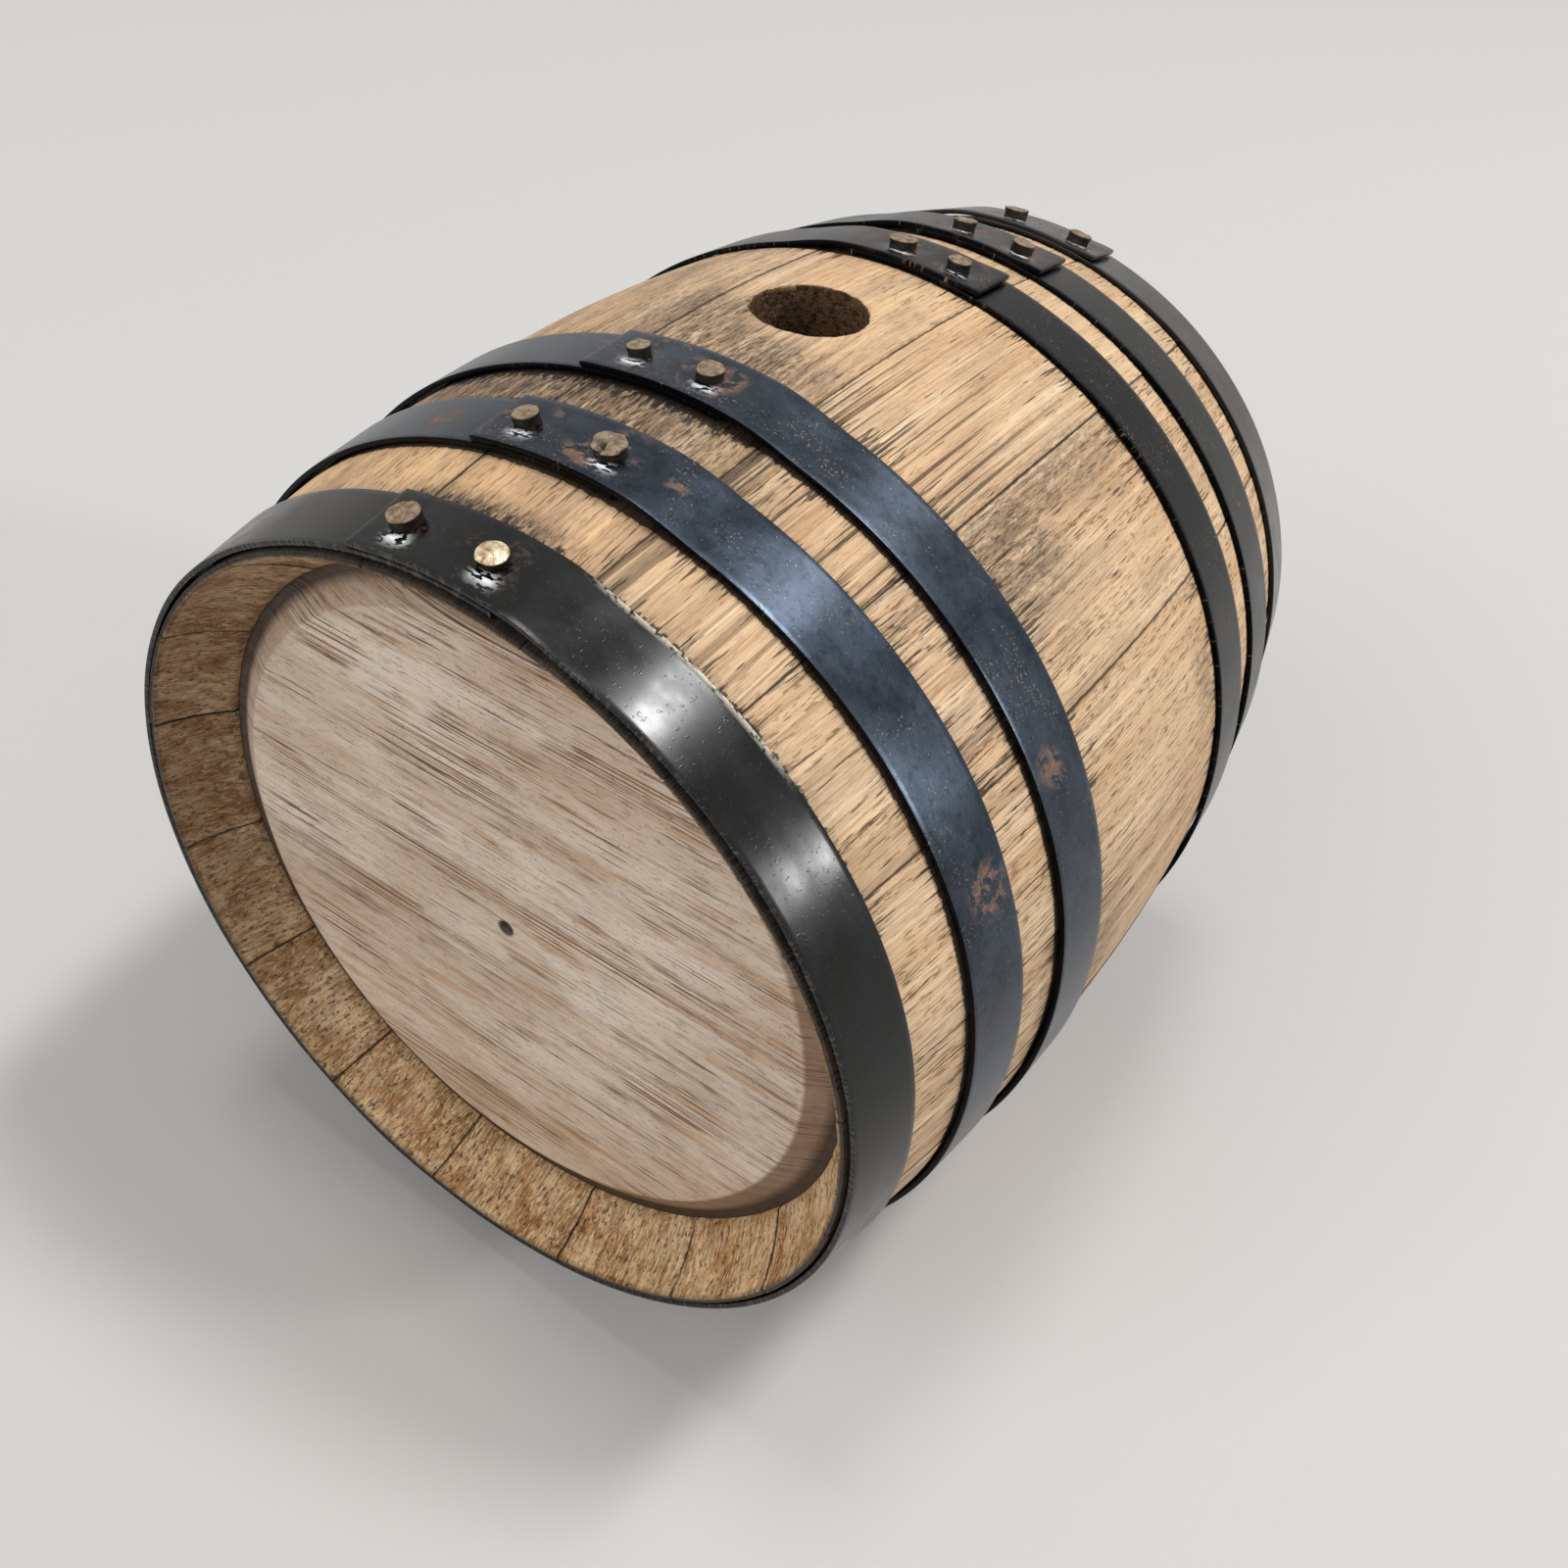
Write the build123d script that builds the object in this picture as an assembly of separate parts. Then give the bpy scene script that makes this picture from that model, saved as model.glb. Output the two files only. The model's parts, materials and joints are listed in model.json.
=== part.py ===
from build123d import *

import math
import os

# A small oak aging barrel, lying on its side with the bung hole up.
# Millimetres and degrees. The barrel's axis runs along Y: the plain head faces -Y and the
# head with the tap faces +Y. The origin is on the floor, under the middle of the barrel.
# Angles round the barrel are counted from straight up towards +X.

# Barrel body
LENGTH = 148.0
END_RADIUS = 60.1
BULGE = 8.9
STAVE_THICKNESS = 10.0

# Staves: how wide each one is at the bilge, starting with the stave that has the bung hole
STAVE_WIDTHS = [27, 24, 27.5, 26.5, 26, 25.5, 26, 28, 30.5, 26.5, 27.5, 26.5, 28, 23.5, 29.5, 29.5]
BUNG_STAVE_TURN = -0.75

# Chime: the bevelled inside of each end, and the croze groove that holds the head
CHIME_LAND = 0.8
CHIME_DEPTH = 10.1
CHIME_BEVEL = 4.9
CHIME_HOLLOW = 0.5
CROZE_LAND = 0.8
CROZE_WIDTH = 4.4
CROZE_DEPTH = 2.6

# Heads: a disc whose edge is chamfered down to a tongue
HEAD_THICKNESS = 9.0
HEAD_CHAMFER = 4.0
TONGUE_SIDE_CLEARANCE = 0.05
TONGUE_EDGE_CLEARANCE = 0.1
SHOULDER_CLEARANCE = 0.3
CENTRE_MARK_RADIUS = 1.2
CENTRE_MARK_DEPTH = 3.0

# Bung hole, near the middle of the barrel's length and a little to one side of the top
BUNG_RADIUS = 8.0
BUNG_OFFSET = -0.3
BUNG_ACROSS = -1.7

# Hoops: each is a riveted steel strip, and its inset is counted from the barrel's end
HOOP_WIDTH = 10.6
HOOP_THICKNESS = 0.75
HOOP_CLEARANCE = 0.08
HOOP_FLARE = 0.3
HOOP_INSETS = {"head": 0.3, "quarter": 21.6, "bilge": 41.2}

# Hoop laps: the strip's free end lies over its start and is held by two rivets
LAP_LENGTH = 21.5
LAP_CLEARANCE = 0.03
JOGGLE_LENGTH = 12.0
RIVET_SHANK_RADIUS = 1.2
RIVET_HOLE_CLEARANCE = 0.04
RIVET_HEAD_RADIUS = 1.9
RIVET_HEAD_HEIGHT = 1.0
RIVET_HEAD_ROUND = 0.2
RIVET_SEAT_CLEARANCE = 0.03

# Each hoop was riveted by hand: where its lap lies, and how far apart its two rivets are
LAP_TURNS = {
    "plain_end": {"head": -3.9, "quarter": -4.5, "bilge": -3.7},
    "tap_end": {"head": 2.5, "quarter": 2.2, "bilge": 1.4},
}
RIVET_SPACINGS = {
    "plain_end": {"head": 12.5, "quarter": 12.3, "bilge": 10.7},
    "tap_end": {"head": 11.6, "quarter": 10.2, "bilge": 9.3},
}

# Tap: a turned wooden tap, driven into the far head below its middle
TAP_EDGE_DISTANCE = 21.4
TAP_SHANK_RADIUS = 6.0
TAP_SHANK_CLEARANCE = 0.05
TAP_SHANK_REACH = 8.0
TAP_FLANGE_RADIUS = 9.0
TAP_FLANGE_THICKNESS = 3.0
TAP_NECK_RADIUS = 7.0
TAP_NECK_LENGTH = 6.0
TAP_SHOULDER_RADIUS = 8.2
TAP_BELLY_RADIUS = 10.5
TAP_BELLY_LENGTH = 22.0
TAP_FLAT_HEIGHT = 8.0
TAP_NOSE_RADIUS = 7.0
TAP_NOSE_LENGTH = 13.0
TAP_NOSE_ROUND = 2.0
TAP_EDGE_BREAK = 0.6
SPOUT_RADIUS = 4.6
SPOUT_SETBACK = 6.5
SPOUT_DROP = 15.0
PASSAGE_RADIUS = 2.0

# Tap key: a plug with a paddle handle, turning in a cork lining
KEY_RADIUS = 4.5
KEY_CLEARANCE = 0.05
CORK_THICKNESS = 2.0
CORK_CLEARANCE = 0.03
KEY_TAIL = 2.0
KEY_SEAT_CLEARANCE = 0.15
KEY_COLLAR_RADIUS = 6.2
KEY_COLLAR_HEIGHT = 2.0
KEY_HANDLE_WIDTH = 26.0
KEY_HANDLE_THICKNESS = 6.0
KEY_HANDLE_HEIGHT = 12.0
KEY_HANDLE_CORNER = 4.5
KEY_HANDLE_EDGE = 1.2

# The bulge of the barrel is an arc through its two ends and its bilge
half_length = LENGTH / 2
bilge_radius = END_RADIUS + BULGE
bulge_radius = (half_length**2 + BULGE**2) / (2 * BULGE)


def barrel_radius(y, depth=0.0):
    """Radius of the barrel at y, on the outside or at a depth below it."""
    centre = bilge_radius - bulge_radius
    return centre + math.sqrt((bulge_radius - depth) ** 2 - y**2)


# The head's place follows from the croze
chime_inner_radius = END_RADIUS - CHIME_LAND - CHIME_BEVEL
croze_radius = chime_inner_radius + CROZE_DEPTH
chime_end = half_length - CHIME_DEPTH
croze_outer = chime_end - CROZE_LAND
croze_inner = croze_outer - CROZE_WIDTH
croze_lip_radius = barrel_radius(croze_inner, STAVE_THICKNESS)
tongue_outer = croze_outer - TONGUE_SIDE_CLEARANCE
tongue_inner = croze_inner + TONGUE_SIDE_CLEARANCE
head_outer = (tongue_outer + tongue_inner + HEAD_THICKNESS) / 2
head_inner = head_outer - HEAD_THICKNESS

# The barrel lies on its bilge hoops
bilge_hoop_inner_edge = half_length - HOOP_INSETS["bilge"] - HOOP_WIDTH
bilge_hoop_radius = barrel_radius(bilge_hoop_inner_edge) + HOOP_CLEARANCE + HOOP_THICKNESS
axis_height = max(bilge_radius, bilge_hoop_radius)


def round_point(radius, angle, y=0.0):
    """Point at a radius and an angle round the barrel's axis."""
    turn = math.radians(angle)
    return Vector(radius * math.sin(turn), y, radius * math.cos(turn))


def save(shape, name):
    """Lift a piece from the barrel's axis to its place above the floor and write it."""
    placed = Pos(0, 0, axis_height) * shape
    placed.label = name
    export_step(placed, f"parts/{name}.step")


def polyline_face(points):
    """Face inside a closed run of straight lines."""
    return make_face(Polyline(*points, close=True))


# Staves
def stave_end(side):
    """Outline of one end of a stave, from the outside edge to the inside edge."""
    rim = (END_RADIUS - CHIME_LAND, half_length)
    foot = (chime_inner_radius, chime_end)
    span = Vector(*rim) - Vector(*foot)
    hollow = Vector(span.Y, -span.X).normalized() * CHIME_HOLLOW
    middle = (Vector(*rim) + Vector(*foot)) / 2 + hollow
    corners = [
        foot,
        (chime_inner_radius, croze_outer),
        (croze_radius, croze_outer),
        (croze_radius, croze_inner),
        (croze_lip_radius, croze_inner),
    ]

    def at(point):
        return (Vector(*point).X, side * Vector(*point).Y)

    return [
        Line(at((END_RADIUS, half_length)), at(rim)),
        ThreePointArc(at(rim), at(middle), at(foot)),
        Polyline(*[at(corner) for corner in corners]),
    ]


def stave_section():
    """Lengthwise section of a stave, with the radius along X."""
    outside = ThreePointArc((END_RADIUS, half_length), (bilge_radius, 0), (END_RADIUS, -half_length))
    inside = ThreePointArc(
        (croze_lip_radius, croze_inner),
        (bilge_radius - STAVE_THICKNESS, 0),
        (croze_lip_radius, -croze_inner),
    )
    return make_face([outside, inside, *stave_end(1), *stave_end(-1)])


def make_staves():
    """All the staves, keyed by name, as radial slices of the barrel's wall."""
    section = stave_section()
    share = 360 / sum(STAVE_WIDTHS)
    start = BUNG_STAVE_TURN - STAVE_WIDTHS[0] * share / 2
    staves = {}
    for number, width in enumerate(STAVE_WIDTHS, start=1):
        # The section lies towards +X, which is a quarter turn from straight up
        slice_ = revolve(section, Axis.Y, width * share)
        name = "bung_stave" if number == 1 else f"stave_{number:02d}"
        staves[name] = Rot(0, start - 90, 0) * slice_
        start += width * share
    bung_hole = Pos(BUNG_ACROSS, BUNG_OFFSET, bilge_radius) * Cylinder(BUNG_RADIUS, 4 * STAVE_THICKNESS)
    staves["bung_stave"] = staves["bung_stave"] - bung_hole
    return staves


# Heads
def head_disc(side):
    """A head: a turned disc, chamfered on both faces to the tongue that sits in the croze."""
    tongue_radius = croze_radius - TONGUE_EDGE_CLEARANCE
    shoulder = croze_lip_radius - SHOULDER_CLEARANCE
    outline = [
        (0, head_inner),
        (shoulder - HEAD_CHAMFER, head_inner),
        (shoulder, tongue_inner),
        (tongue_radius, tongue_inner),
        (tongue_radius, tongue_outer),
        (shoulder, tongue_outer),
        (shoulder - HEAD_CHAMFER, head_outer),
        (0, head_outer),
    ]
    return revolve(polyline_face([(r, side * y) for r, y in outline]), Axis.Y, 360)


def plain_head():
    """The head without a tap, with the mark that the lathe's centre left in it."""
    mark_middle = -head_outer + CENTRE_MARK_DEPTH / 2
    mark = Pos(0, mark_middle, 0) * Rot(90, 0, 0) * Cylinder(CENTRE_MARK_RADIUS, CENTRE_MARK_DEPTH)
    return head_disc(-1) - mark


def tap_head():
    """The head with the hole that the tap is driven into."""
    middle = (head_outer + head_inner) / 2
    radius = TAP_SHANK_RADIUS + TAP_SHANK_CLEARANCE
    hole = Pos(0, middle, -tap_drop) * Rot(90, 0, 0) * Cylinder(radius, 2 * HEAD_THICKNESS)
    return head_disc(1) - hole


# Hoops
def hoop_edges(inset):
    """Where a hoop's two edges lie, and its inside radius at each: head side, then bilge side."""
    head_side = half_length - inset
    bilge_side = head_side - HOOP_WIDTH
    return [
        (head_side, barrel_radius(head_side) + HOOP_CLEARANCE + HOOP_FLARE),
        (bilge_side, barrel_radius(bilge_side) + HOOP_CLEARANCE),
    ]


def strip_outline(y, radius, lap, lap_turn, way):
    """End view of a hoop's strip at one edge: one turn on the wood, a joggle and the lapped end."""
    upper = radius + HOOP_THICKNESS + LAP_CLEARANCE
    start = lap_turn - way * lap / 2
    joggle = math.degrees(JOGGLE_LENGTH / bilge_radius)
    margin = joggle / 8

    def point(r, turn):
        return round_point(r, start + way * turn, y)

    def arcs(r, first, last, count):
        step = (last - first) / count
        return [
            ThreePointArc(
                point(r, first + step * i), point(r, first + step * (i + 0.5)), point(r, first + step * (i + 1))
            )
            for i in range(count)
        ]

    low = 360 - margin - joggle
    high = 360 - margin
    end = 360 + lap
    inner, outer = radius, radius + HOOP_THICKNESS
    upper_outer = upper + HOOP_THICKNESS

    def climb(lower_radius, upper_radius):
        halfway = point((lower_radius + upper_radius) / 2, (low + high) / 2)
        return ThreePointArc(point(lower_radius, low), halfway, point(upper_radius, high))

    return [
        *arcs(inner, 0, low, 3),
        climb(inner, upper),
        *arcs(upper, high, end, 1),
        Line(point(upper, end), point(upper_outer, end)),
        *arcs(upper_outer, end, high, 1),
        climb(outer, upper_outer),
        *arcs(outer, low, 0, 3),
        Line(point(outer, 0), point(inner, 0)),
    ]


def rivet_planes(inset, side, lap_turn, spacing):
    """Planes on the inside of the strip, one for each rivet, facing out along the rivet."""
    (head_side, head_side_radius), (bilge_side, bilge_side_radius) = hoop_edges(inset)
    middle_y = (head_side + bilge_side) / 2
    middle_radius = (head_side_radius + bilge_side_radius) / 2
    slope = (bilge_side_radius - head_side_radius) / HOOP_WIDTH
    offset = math.degrees(spacing / 2 / middle_radius)
    planes = []
    for turn in (lap_turn - offset, lap_turn + offset):
        outwards = round_point(1, turn) + Vector(0, side * slope, 0)
        place = round_point(middle_radius, turn, side * middle_y)
        planes.append(Plane(origin=place, z_dir=outwards.normalized()))
    return planes


def hoop(inset, side, lap_turn, spacing):
    """A hoop: a conical steel strip lapped over itself, with holes for its two rivets."""
    middle_radius = sum(radius for _, radius in hoop_edges(inset)) / 2
    lap = math.degrees(LAP_LENGTH / middle_radius)
    outlines = [strip_outline(side * y, radius, lap, lap_turn, side) for y, radius in hoop_edges(inset)]
    # A ruled face joins each line of one edge's outline to its partner in the other
    faces = [Face.make_surface_from_curves(near.edge(), far.edge()) for near, far in zip(*outlines)]
    faces += [make_face(outline).face() for outline in outlines]
    strip = Solid(Shell(faces))
    hole_radius = RIVET_SHANK_RADIUS + RIVET_HOLE_CLEARANCE
    for plane in rivet_planes(inset, side, lap_turn, spacing):
        strip = strip - plane * Cylinder(hole_radius, 8 * HOOP_THICKNESS)
    return strip


def rivets(inset, side, lap_turn, spacing):
    """The two rivets of a hoop: flush inside, with a round flat head outside."""
    grip = 2 * HOOP_THICKNESS + LAP_CLEARANCE + RIVET_SEAT_CLEARANCE
    upright = (Align.CENTER, Align.CENTER, Align.MIN)
    solids = []
    for plane in rivet_planes(inset, side, lap_turn, spacing):
        shank = Cylinder(RIVET_SHANK_RADIUS, grip + RIVET_HEAD_HEIGHT / 2, align=upright)
        head = Pos(0, 0, grip) * Cylinder(RIVET_HEAD_RADIUS, RIVET_HEAD_HEIGHT, align=upright)
        head = fillet(head.edges().sort_by(Axis.Z)[-1], RIVET_HEAD_ROUND)
        solids.append((plane * (shank + head)).solid())
    return Compound(children=solids)


# Tap
tap_drop = chime_inner_radius - TAP_EDGE_DISTANCE
flange_end = head_outer + TAP_FLANGE_THICKNESS
belly_start = flange_end + TAP_NECK_LENGTH
belly_end = belly_start + TAP_BELLY_LENGTH
key_y = (belly_start + belly_end) / 2
nose_end = belly_end + TAP_NOSE_LENGTH
spout_y = nose_end - SPOUT_SETBACK
cork_radius = KEY_RADIUS + KEY_CLEARANCE + CORK_THICKNESS


def passage():
    """The way of the drink: along the tap to the spout and down."""
    start = head_inner - TAP_SHANK_REACH
    along = Pos(0, (start + spout_y) / 2, 0) * Rot(90, 0, 0) * Cylinder(PASSAGE_RADIUS, spout_y - start)
    down = Pos(0, spout_y, 0) * Cylinder(
        PASSAGE_RADIUS, 2 * SPOUT_DROP, align=(Align.CENTER, Align.CENTER, Align.MAX)
    )
    return along + down + Pos(0, spout_y, 0) * Sphere(PASSAGE_RADIUS)


def tap_body():
    """The turned body of the tap, on its own axis: shank, flange, neck, belly, nose and spout."""
    start = head_inner - TAP_SHANK_REACH
    shoulder = TAP_SHOULDER_RADIUS
    outline = [
        Polyline((0, start), (TAP_SHANK_RADIUS, start), (TAP_SHANK_RADIUS, head_outer)),
        Polyline(
            (TAP_SHANK_RADIUS, head_outer),
            (TAP_FLANGE_RADIUS - TAP_EDGE_BREAK, head_outer),
            (TAP_FLANGE_RADIUS, head_outer + TAP_EDGE_BREAK),
            (TAP_FLANGE_RADIUS, flange_end - TAP_EDGE_BREAK),
            (TAP_FLANGE_RADIUS - TAP_EDGE_BREAK, flange_end),
            (shoulder, flange_end),
        ),
        ThreePointArc(
            (shoulder, flange_end), (TAP_NECK_RADIUS, (flange_end + belly_start) / 2), (shoulder, belly_start)
        ),
        ThreePointArc((shoulder, belly_start), (TAP_BELLY_RADIUS, key_y), (shoulder, belly_end)),
        Line((shoulder, belly_end), (TAP_NOSE_RADIUS, belly_end)),
        Line((TAP_NOSE_RADIUS, belly_end), (TAP_NOSE_RADIUS, nose_end)),
        Line((TAP_NOSE_RADIUS, nose_end), (0, nose_end)),
        Line((0, nose_end), (0, start)),
    ]
    body = revolve(make_face(outline), Axis.Y, 360)
    body = fillet(body.edges().sort_by(Axis.Y)[-1], TAP_NOSE_ROUND)
    spout = Pos(0, spout_y, 0) * Cylinder(
        SPOUT_RADIUS, SPOUT_DROP, align=(Align.CENTER, Align.CENTER, Align.MAX)
    )
    body = body + fillet(spout.edges().sort_by(Axis.Z)[0], TAP_EDGE_BREAK)
    block = 2 * TAP_BELLY_RADIUS
    for way in (1, -1):
        waste = Pos(0, key_y, way * (TAP_FLAT_HEIGHT + TAP_BELLY_RADIUS))
        body = body - waste * Box(block, TAP_BELLY_LENGTH, block)
    bore = Cylinder(cork_radius + CORK_CLEARANCE, 4 * TAP_FLAT_HEIGHT)
    return body - Pos(0, key_y, 0) * bore - passage()


def cork_lining():
    """The cork tube in the tap's body that the key turns in."""
    lining = Cylinder(cork_radius, 2 * TAP_FLAT_HEIGHT)
    lining = lining - Cylinder(KEY_RADIUS + KEY_CLEARANCE, 4 * TAP_FLAT_HEIGHT)
    return Pos(0, key_y, 0) * lining - passage()


def tap_key():
    """The key, shut: a plug with a cross hole, a collar and a paddle handle set crosswise."""
    upright = (Align.CENTER, Align.CENTER, Align.MIN)
    seat = TAP_FLAT_HEIGHT + KEY_SEAT_CLEARANCE
    bottom = TAP_FLAT_HEIGHT + KEY_TAIL
    plug = Pos(0, 0, -bottom) * Cylinder(KEY_RADIUS, bottom + seat + KEY_COLLAR_HEIGHT, align=upright)
    collar = Pos(0, 0, seat) * Cylinder(KEY_COLLAR_RADIUS, KEY_COLLAR_HEIGHT, align=upright)
    handle = Box(KEY_HANDLE_WIDTH, KEY_HANDLE_THICKNESS, KEY_HANDLE_HEIGHT, align=upright)
    handle = fillet(handle.edges().filter_by(Axis.Y), KEY_HANDLE_CORNER)
    broad_faces = handle.faces().filter_by(Axis.Y)
    handle = fillet(broad_faces.edges(), KEY_HANDLE_EDGE)
    key = plug + collar + Pos(0, 0, seat + KEY_COLLAR_HEIGHT) * handle
    cross_hole = Rot(0, 90, 0) * Cylinder(PASSAGE_RADIUS, 4 * KEY_RADIUS)
    return Pos(0, key_y, 0) * (key - cross_hole)


# Write every piece
os.makedirs("parts", exist_ok=True)

for name, stave in make_staves().items():
    save(stave, name)

save(plain_head(), "plain_head")
save(tap_head(), "tap_head")

for end, side in (("plain_end", -1), ("tap_end", 1)):
    for place, inset in HOOP_INSETS.items():
        lap_turn = LAP_TURNS[end][place]
        spacing = RIVET_SPACINGS[end][place]
        save(hoop(inset, side, lap_turn, spacing), f"{end}_{place}_hoop")
        save(rivets(inset, side, lap_turn, spacing), f"{end}_{place}_rivets")

tap_place = Pos(0, 0, -tap_drop)
save(tap_place * tap_body(), "tap_body")
save(tap_place * cork_lining(), "tap_cork_lining")
save(tap_place * tap_key(), "tap_key")

print(f"axis height {axis_height:.3f}, head outer face {head_outer:.3f}, inner face {head_inner:.3f}")
print(f"tap key at y {key_y:.3f}, nose end {nose_end:.3f}")
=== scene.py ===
# %% [markdown]
# # A small oak aging barrel
#
# The barrel is already built as solids at its real size: sixteen staves, two heads, six riveted
# hoops and a wooden tap. This lesson gives each of them its skin: weathered oak, black lacquered
# steel, bare rolled steel with rust, and turned beech. The solids are the fixed frame, so every
# new piece is worked out from where they lie.

# %% Load the fixed frame
import json
import math

import bmesh
import bpy
from mathutils import Matrix, Vector, noise


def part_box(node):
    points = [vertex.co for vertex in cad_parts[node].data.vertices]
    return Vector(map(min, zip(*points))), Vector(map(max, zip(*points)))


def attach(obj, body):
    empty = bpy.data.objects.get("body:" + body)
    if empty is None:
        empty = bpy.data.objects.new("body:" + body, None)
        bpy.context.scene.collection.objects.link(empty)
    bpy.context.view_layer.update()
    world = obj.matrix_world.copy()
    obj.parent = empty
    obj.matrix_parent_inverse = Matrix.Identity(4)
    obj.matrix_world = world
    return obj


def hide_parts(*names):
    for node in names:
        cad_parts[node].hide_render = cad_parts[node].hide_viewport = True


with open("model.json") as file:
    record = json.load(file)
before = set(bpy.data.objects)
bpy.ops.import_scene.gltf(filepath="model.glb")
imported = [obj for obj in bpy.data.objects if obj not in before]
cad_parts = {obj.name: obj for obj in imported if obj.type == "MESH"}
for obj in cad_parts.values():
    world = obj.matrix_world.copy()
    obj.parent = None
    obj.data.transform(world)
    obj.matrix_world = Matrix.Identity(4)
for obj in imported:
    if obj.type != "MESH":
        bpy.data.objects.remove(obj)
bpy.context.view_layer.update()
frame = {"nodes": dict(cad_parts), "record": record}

nodes = frame["nodes"]
MM = 0.001

# %% [markdown]
# ## A few small helpers
#
# A colour picked from a screen is an sRGB value, but a shader socket holds linear light, so one
# function turns hex colours to linear ones. Another adds a node, sets it and links it in one call,
# which keeps a material readable. The last one makes a bmesh into a finished piece: it merges
# doubles, turns the faces outwards, keeps real edges sharp and everything else smooth.

# %% Colours, nodes and pieces
SHARP_ANGLE = math.radians(38)
MERGE_DISTANCE = 0.004 * MM


def linear(hex_colour):
    """Turn an sRGB hex colour into the linear colour that a socket holds."""
    parts = [int(hex_colour[place:place + 2], 16) / 255 for place in (1, 3, 5)]
    return [part / 12.92 if part <= 0.04045 else ((part + 0.055) / 1.055) ** 2.4 for part in parts] + [1.0]


def fill(tree, node, inputs):
    """Fill a node's inputs with values, or link them to other outputs."""
    for key, value in inputs.items():
        if isinstance(value, bpy.types.NodeSocket):
            tree.links.new(value, node.inputs[key])
        else:
            node.inputs[key].default_value = value


def add(tree, kind, inputs=None, **settings):
    """Add a node, set its properties and fill its inputs."""
    made = tree.nodes.new(kind)
    for name, value in settings.items():
        setattr(made, name, value)
    fill(tree, made, inputs or {})
    return made


def new_finish(name):
    """A new material with its node tree and its shader."""
    finish = bpy.data.materials.new(name)
    finish.use_nodes = True
    return finish, finish.node_tree, finish.node_tree.nodes["Principled BSDF"]


def shade(bm):
    """Smooth every face of a bmesh, but keep its real edges sharp."""
    for face in bm.faces:
        face.smooth = True
    for edge in bm.edges:
        edge.smooth = edge.calc_face_angle(0.0) < SHARP_ANGLE


def finish_piece(bm, name, material, body, replaced):
    """Close a bmesh, make it a piece with a material, and hide the node that it stands in for."""
    bmesh.ops.remove_doubles(bm, verts=bm.verts[:], dist=MERGE_DISTANCE)
    bmesh.ops.recalc_face_normals(bm, faces=bm.faces[:])
    shade(bm)
    mesh = bpy.data.meshes.new(name)
    bm.to_mesh(mesh)
    bm.free()
    mesh.materials.append(material)
    piece = bpy.data.objects.new(name, mesh)
    bpy.context.scene.collection.objects.link(piece)
    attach(piece, body)
    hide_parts(replaced)
    return piece


print("helpers ready; #808080 is", round(linear("#808080")[0], 3), "in linear light")

# %% [markdown]
# ## The camera
#
# The view looks down on the barrel from in front of its plain head, from a hand's distance, so the
# near end looks much larger than the far one. That calls for the wide lens of a telephone and for
# the true distance, not for a long lens from far away. The picture is also tilted a little, which
# is a roll about the line of sight.

# %% Camera at the photographer's place
CAMERA_PLACE = Vector((94.63, -168.78, 223.6)) * MM
CAMERA_TARGET = Vector((0.0, 9.35, 44.25)) * MM
CAMERA_ROLL = math.radians(8.4)
CAMERA_LENS = 33.95
SENSOR_WIDTH = 36.0
CLIP_START = 0.005

camera = bpy.data.objects.new("camera", bpy.data.cameras.new("camera"))
bpy.context.scene.collection.objects.link(camera)
camera.data.lens = CAMERA_LENS
camera.data.sensor_width = SENSOR_WIDTH
camera.data.clip_start = CLIP_START
aim = (CAMERA_TARGET - CAMERA_PLACE).to_track_quat("-Z", "Y").to_matrix().to_4x4()
camera.matrix_world = Matrix.Translation(CAMERA_PLACE) @ aim @ Matrix.Rotation(CAMERA_ROLL, 4, "Z")
bpy.context.scene.camera = camera
sight = (CAMERA_TARGET - CAMERA_PLACE).length
print("camera at", [round(c, 3) for c in CAMERA_PLACE], "looking", round(sight, 3), "m")

# %% [markdown]
# ## Floor, lamps and world
#
# The floor is a plain pale sheet, so that nothing competes with the barrel, and it keeps the
# barrel's shadow. Three boxes overhead put the shadow under the barrel, and a lower one stands at
# the right. They show up as bright bands on the hoops. A wide sheet in front lights the head, and a
# soft world light fills the rest. What the camera and the shiny steel see behind everything is a
# pale grey, through Light Path.

# %% Floor
FLOOR_HALF = 4.0

floor_bm = bmesh.new()
bmesh.ops.create_grid(floor_bm, x_segments=1, y_segments=1, size=FLOOR_HALF)
floor_mesh = bpy.data.meshes.new("floor")
floor_bm.to_mesh(floor_mesh)
floor_bm.free()
floor = bpy.data.objects.new("floor", floor_mesh)
bpy.context.scene.collection.objects.link(floor)

# Matt pale floor, without any pattern
floor_finish, tree, floor_shader = new_finish("pale_matt_floor")
fill(tree, floor_shader, {"Base Color": linear("#c4c2bf"), "Roughness": 0.75, "Specular IOR Level": 0.25})
floor_mesh.materials.append(floor_finish)
print("floor", 2 * FLOOR_HALF, "m wide")

# %% Lamps and world
LAMPS = {
    # name: direction from the barrel, distance in metres, width, depth, watts
    "overhead_box": ((0.285, 0.262, 0.924), 3.0, 0.5, 0.35, 37.0),
    "rear_overhead_box": ((0.235, 0.58, 0.78), 3.0, 0.35, 0.5, 9.0),
    "left_overhead_box": ((-0.12, 0.02, 0.99), 3.0, 0.6, 0.6, 18.0),
    "right_box": ((0.85, 0.32, 0.42), 3.0, 0.36, 0.36, 21.0),
    "front_sheet": ((-0.30, -0.78, 0.55), 2.6, 1.8, 1.8, 26.0),
}
LAMP_TARGET = Vector((0.0, 0.0, 0.06))
WORLD_FILL = 0.42
BACKDROP_COLOUR = "#e2e0dd"
FILL_COLOUR = "#f1f3f6"

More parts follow.
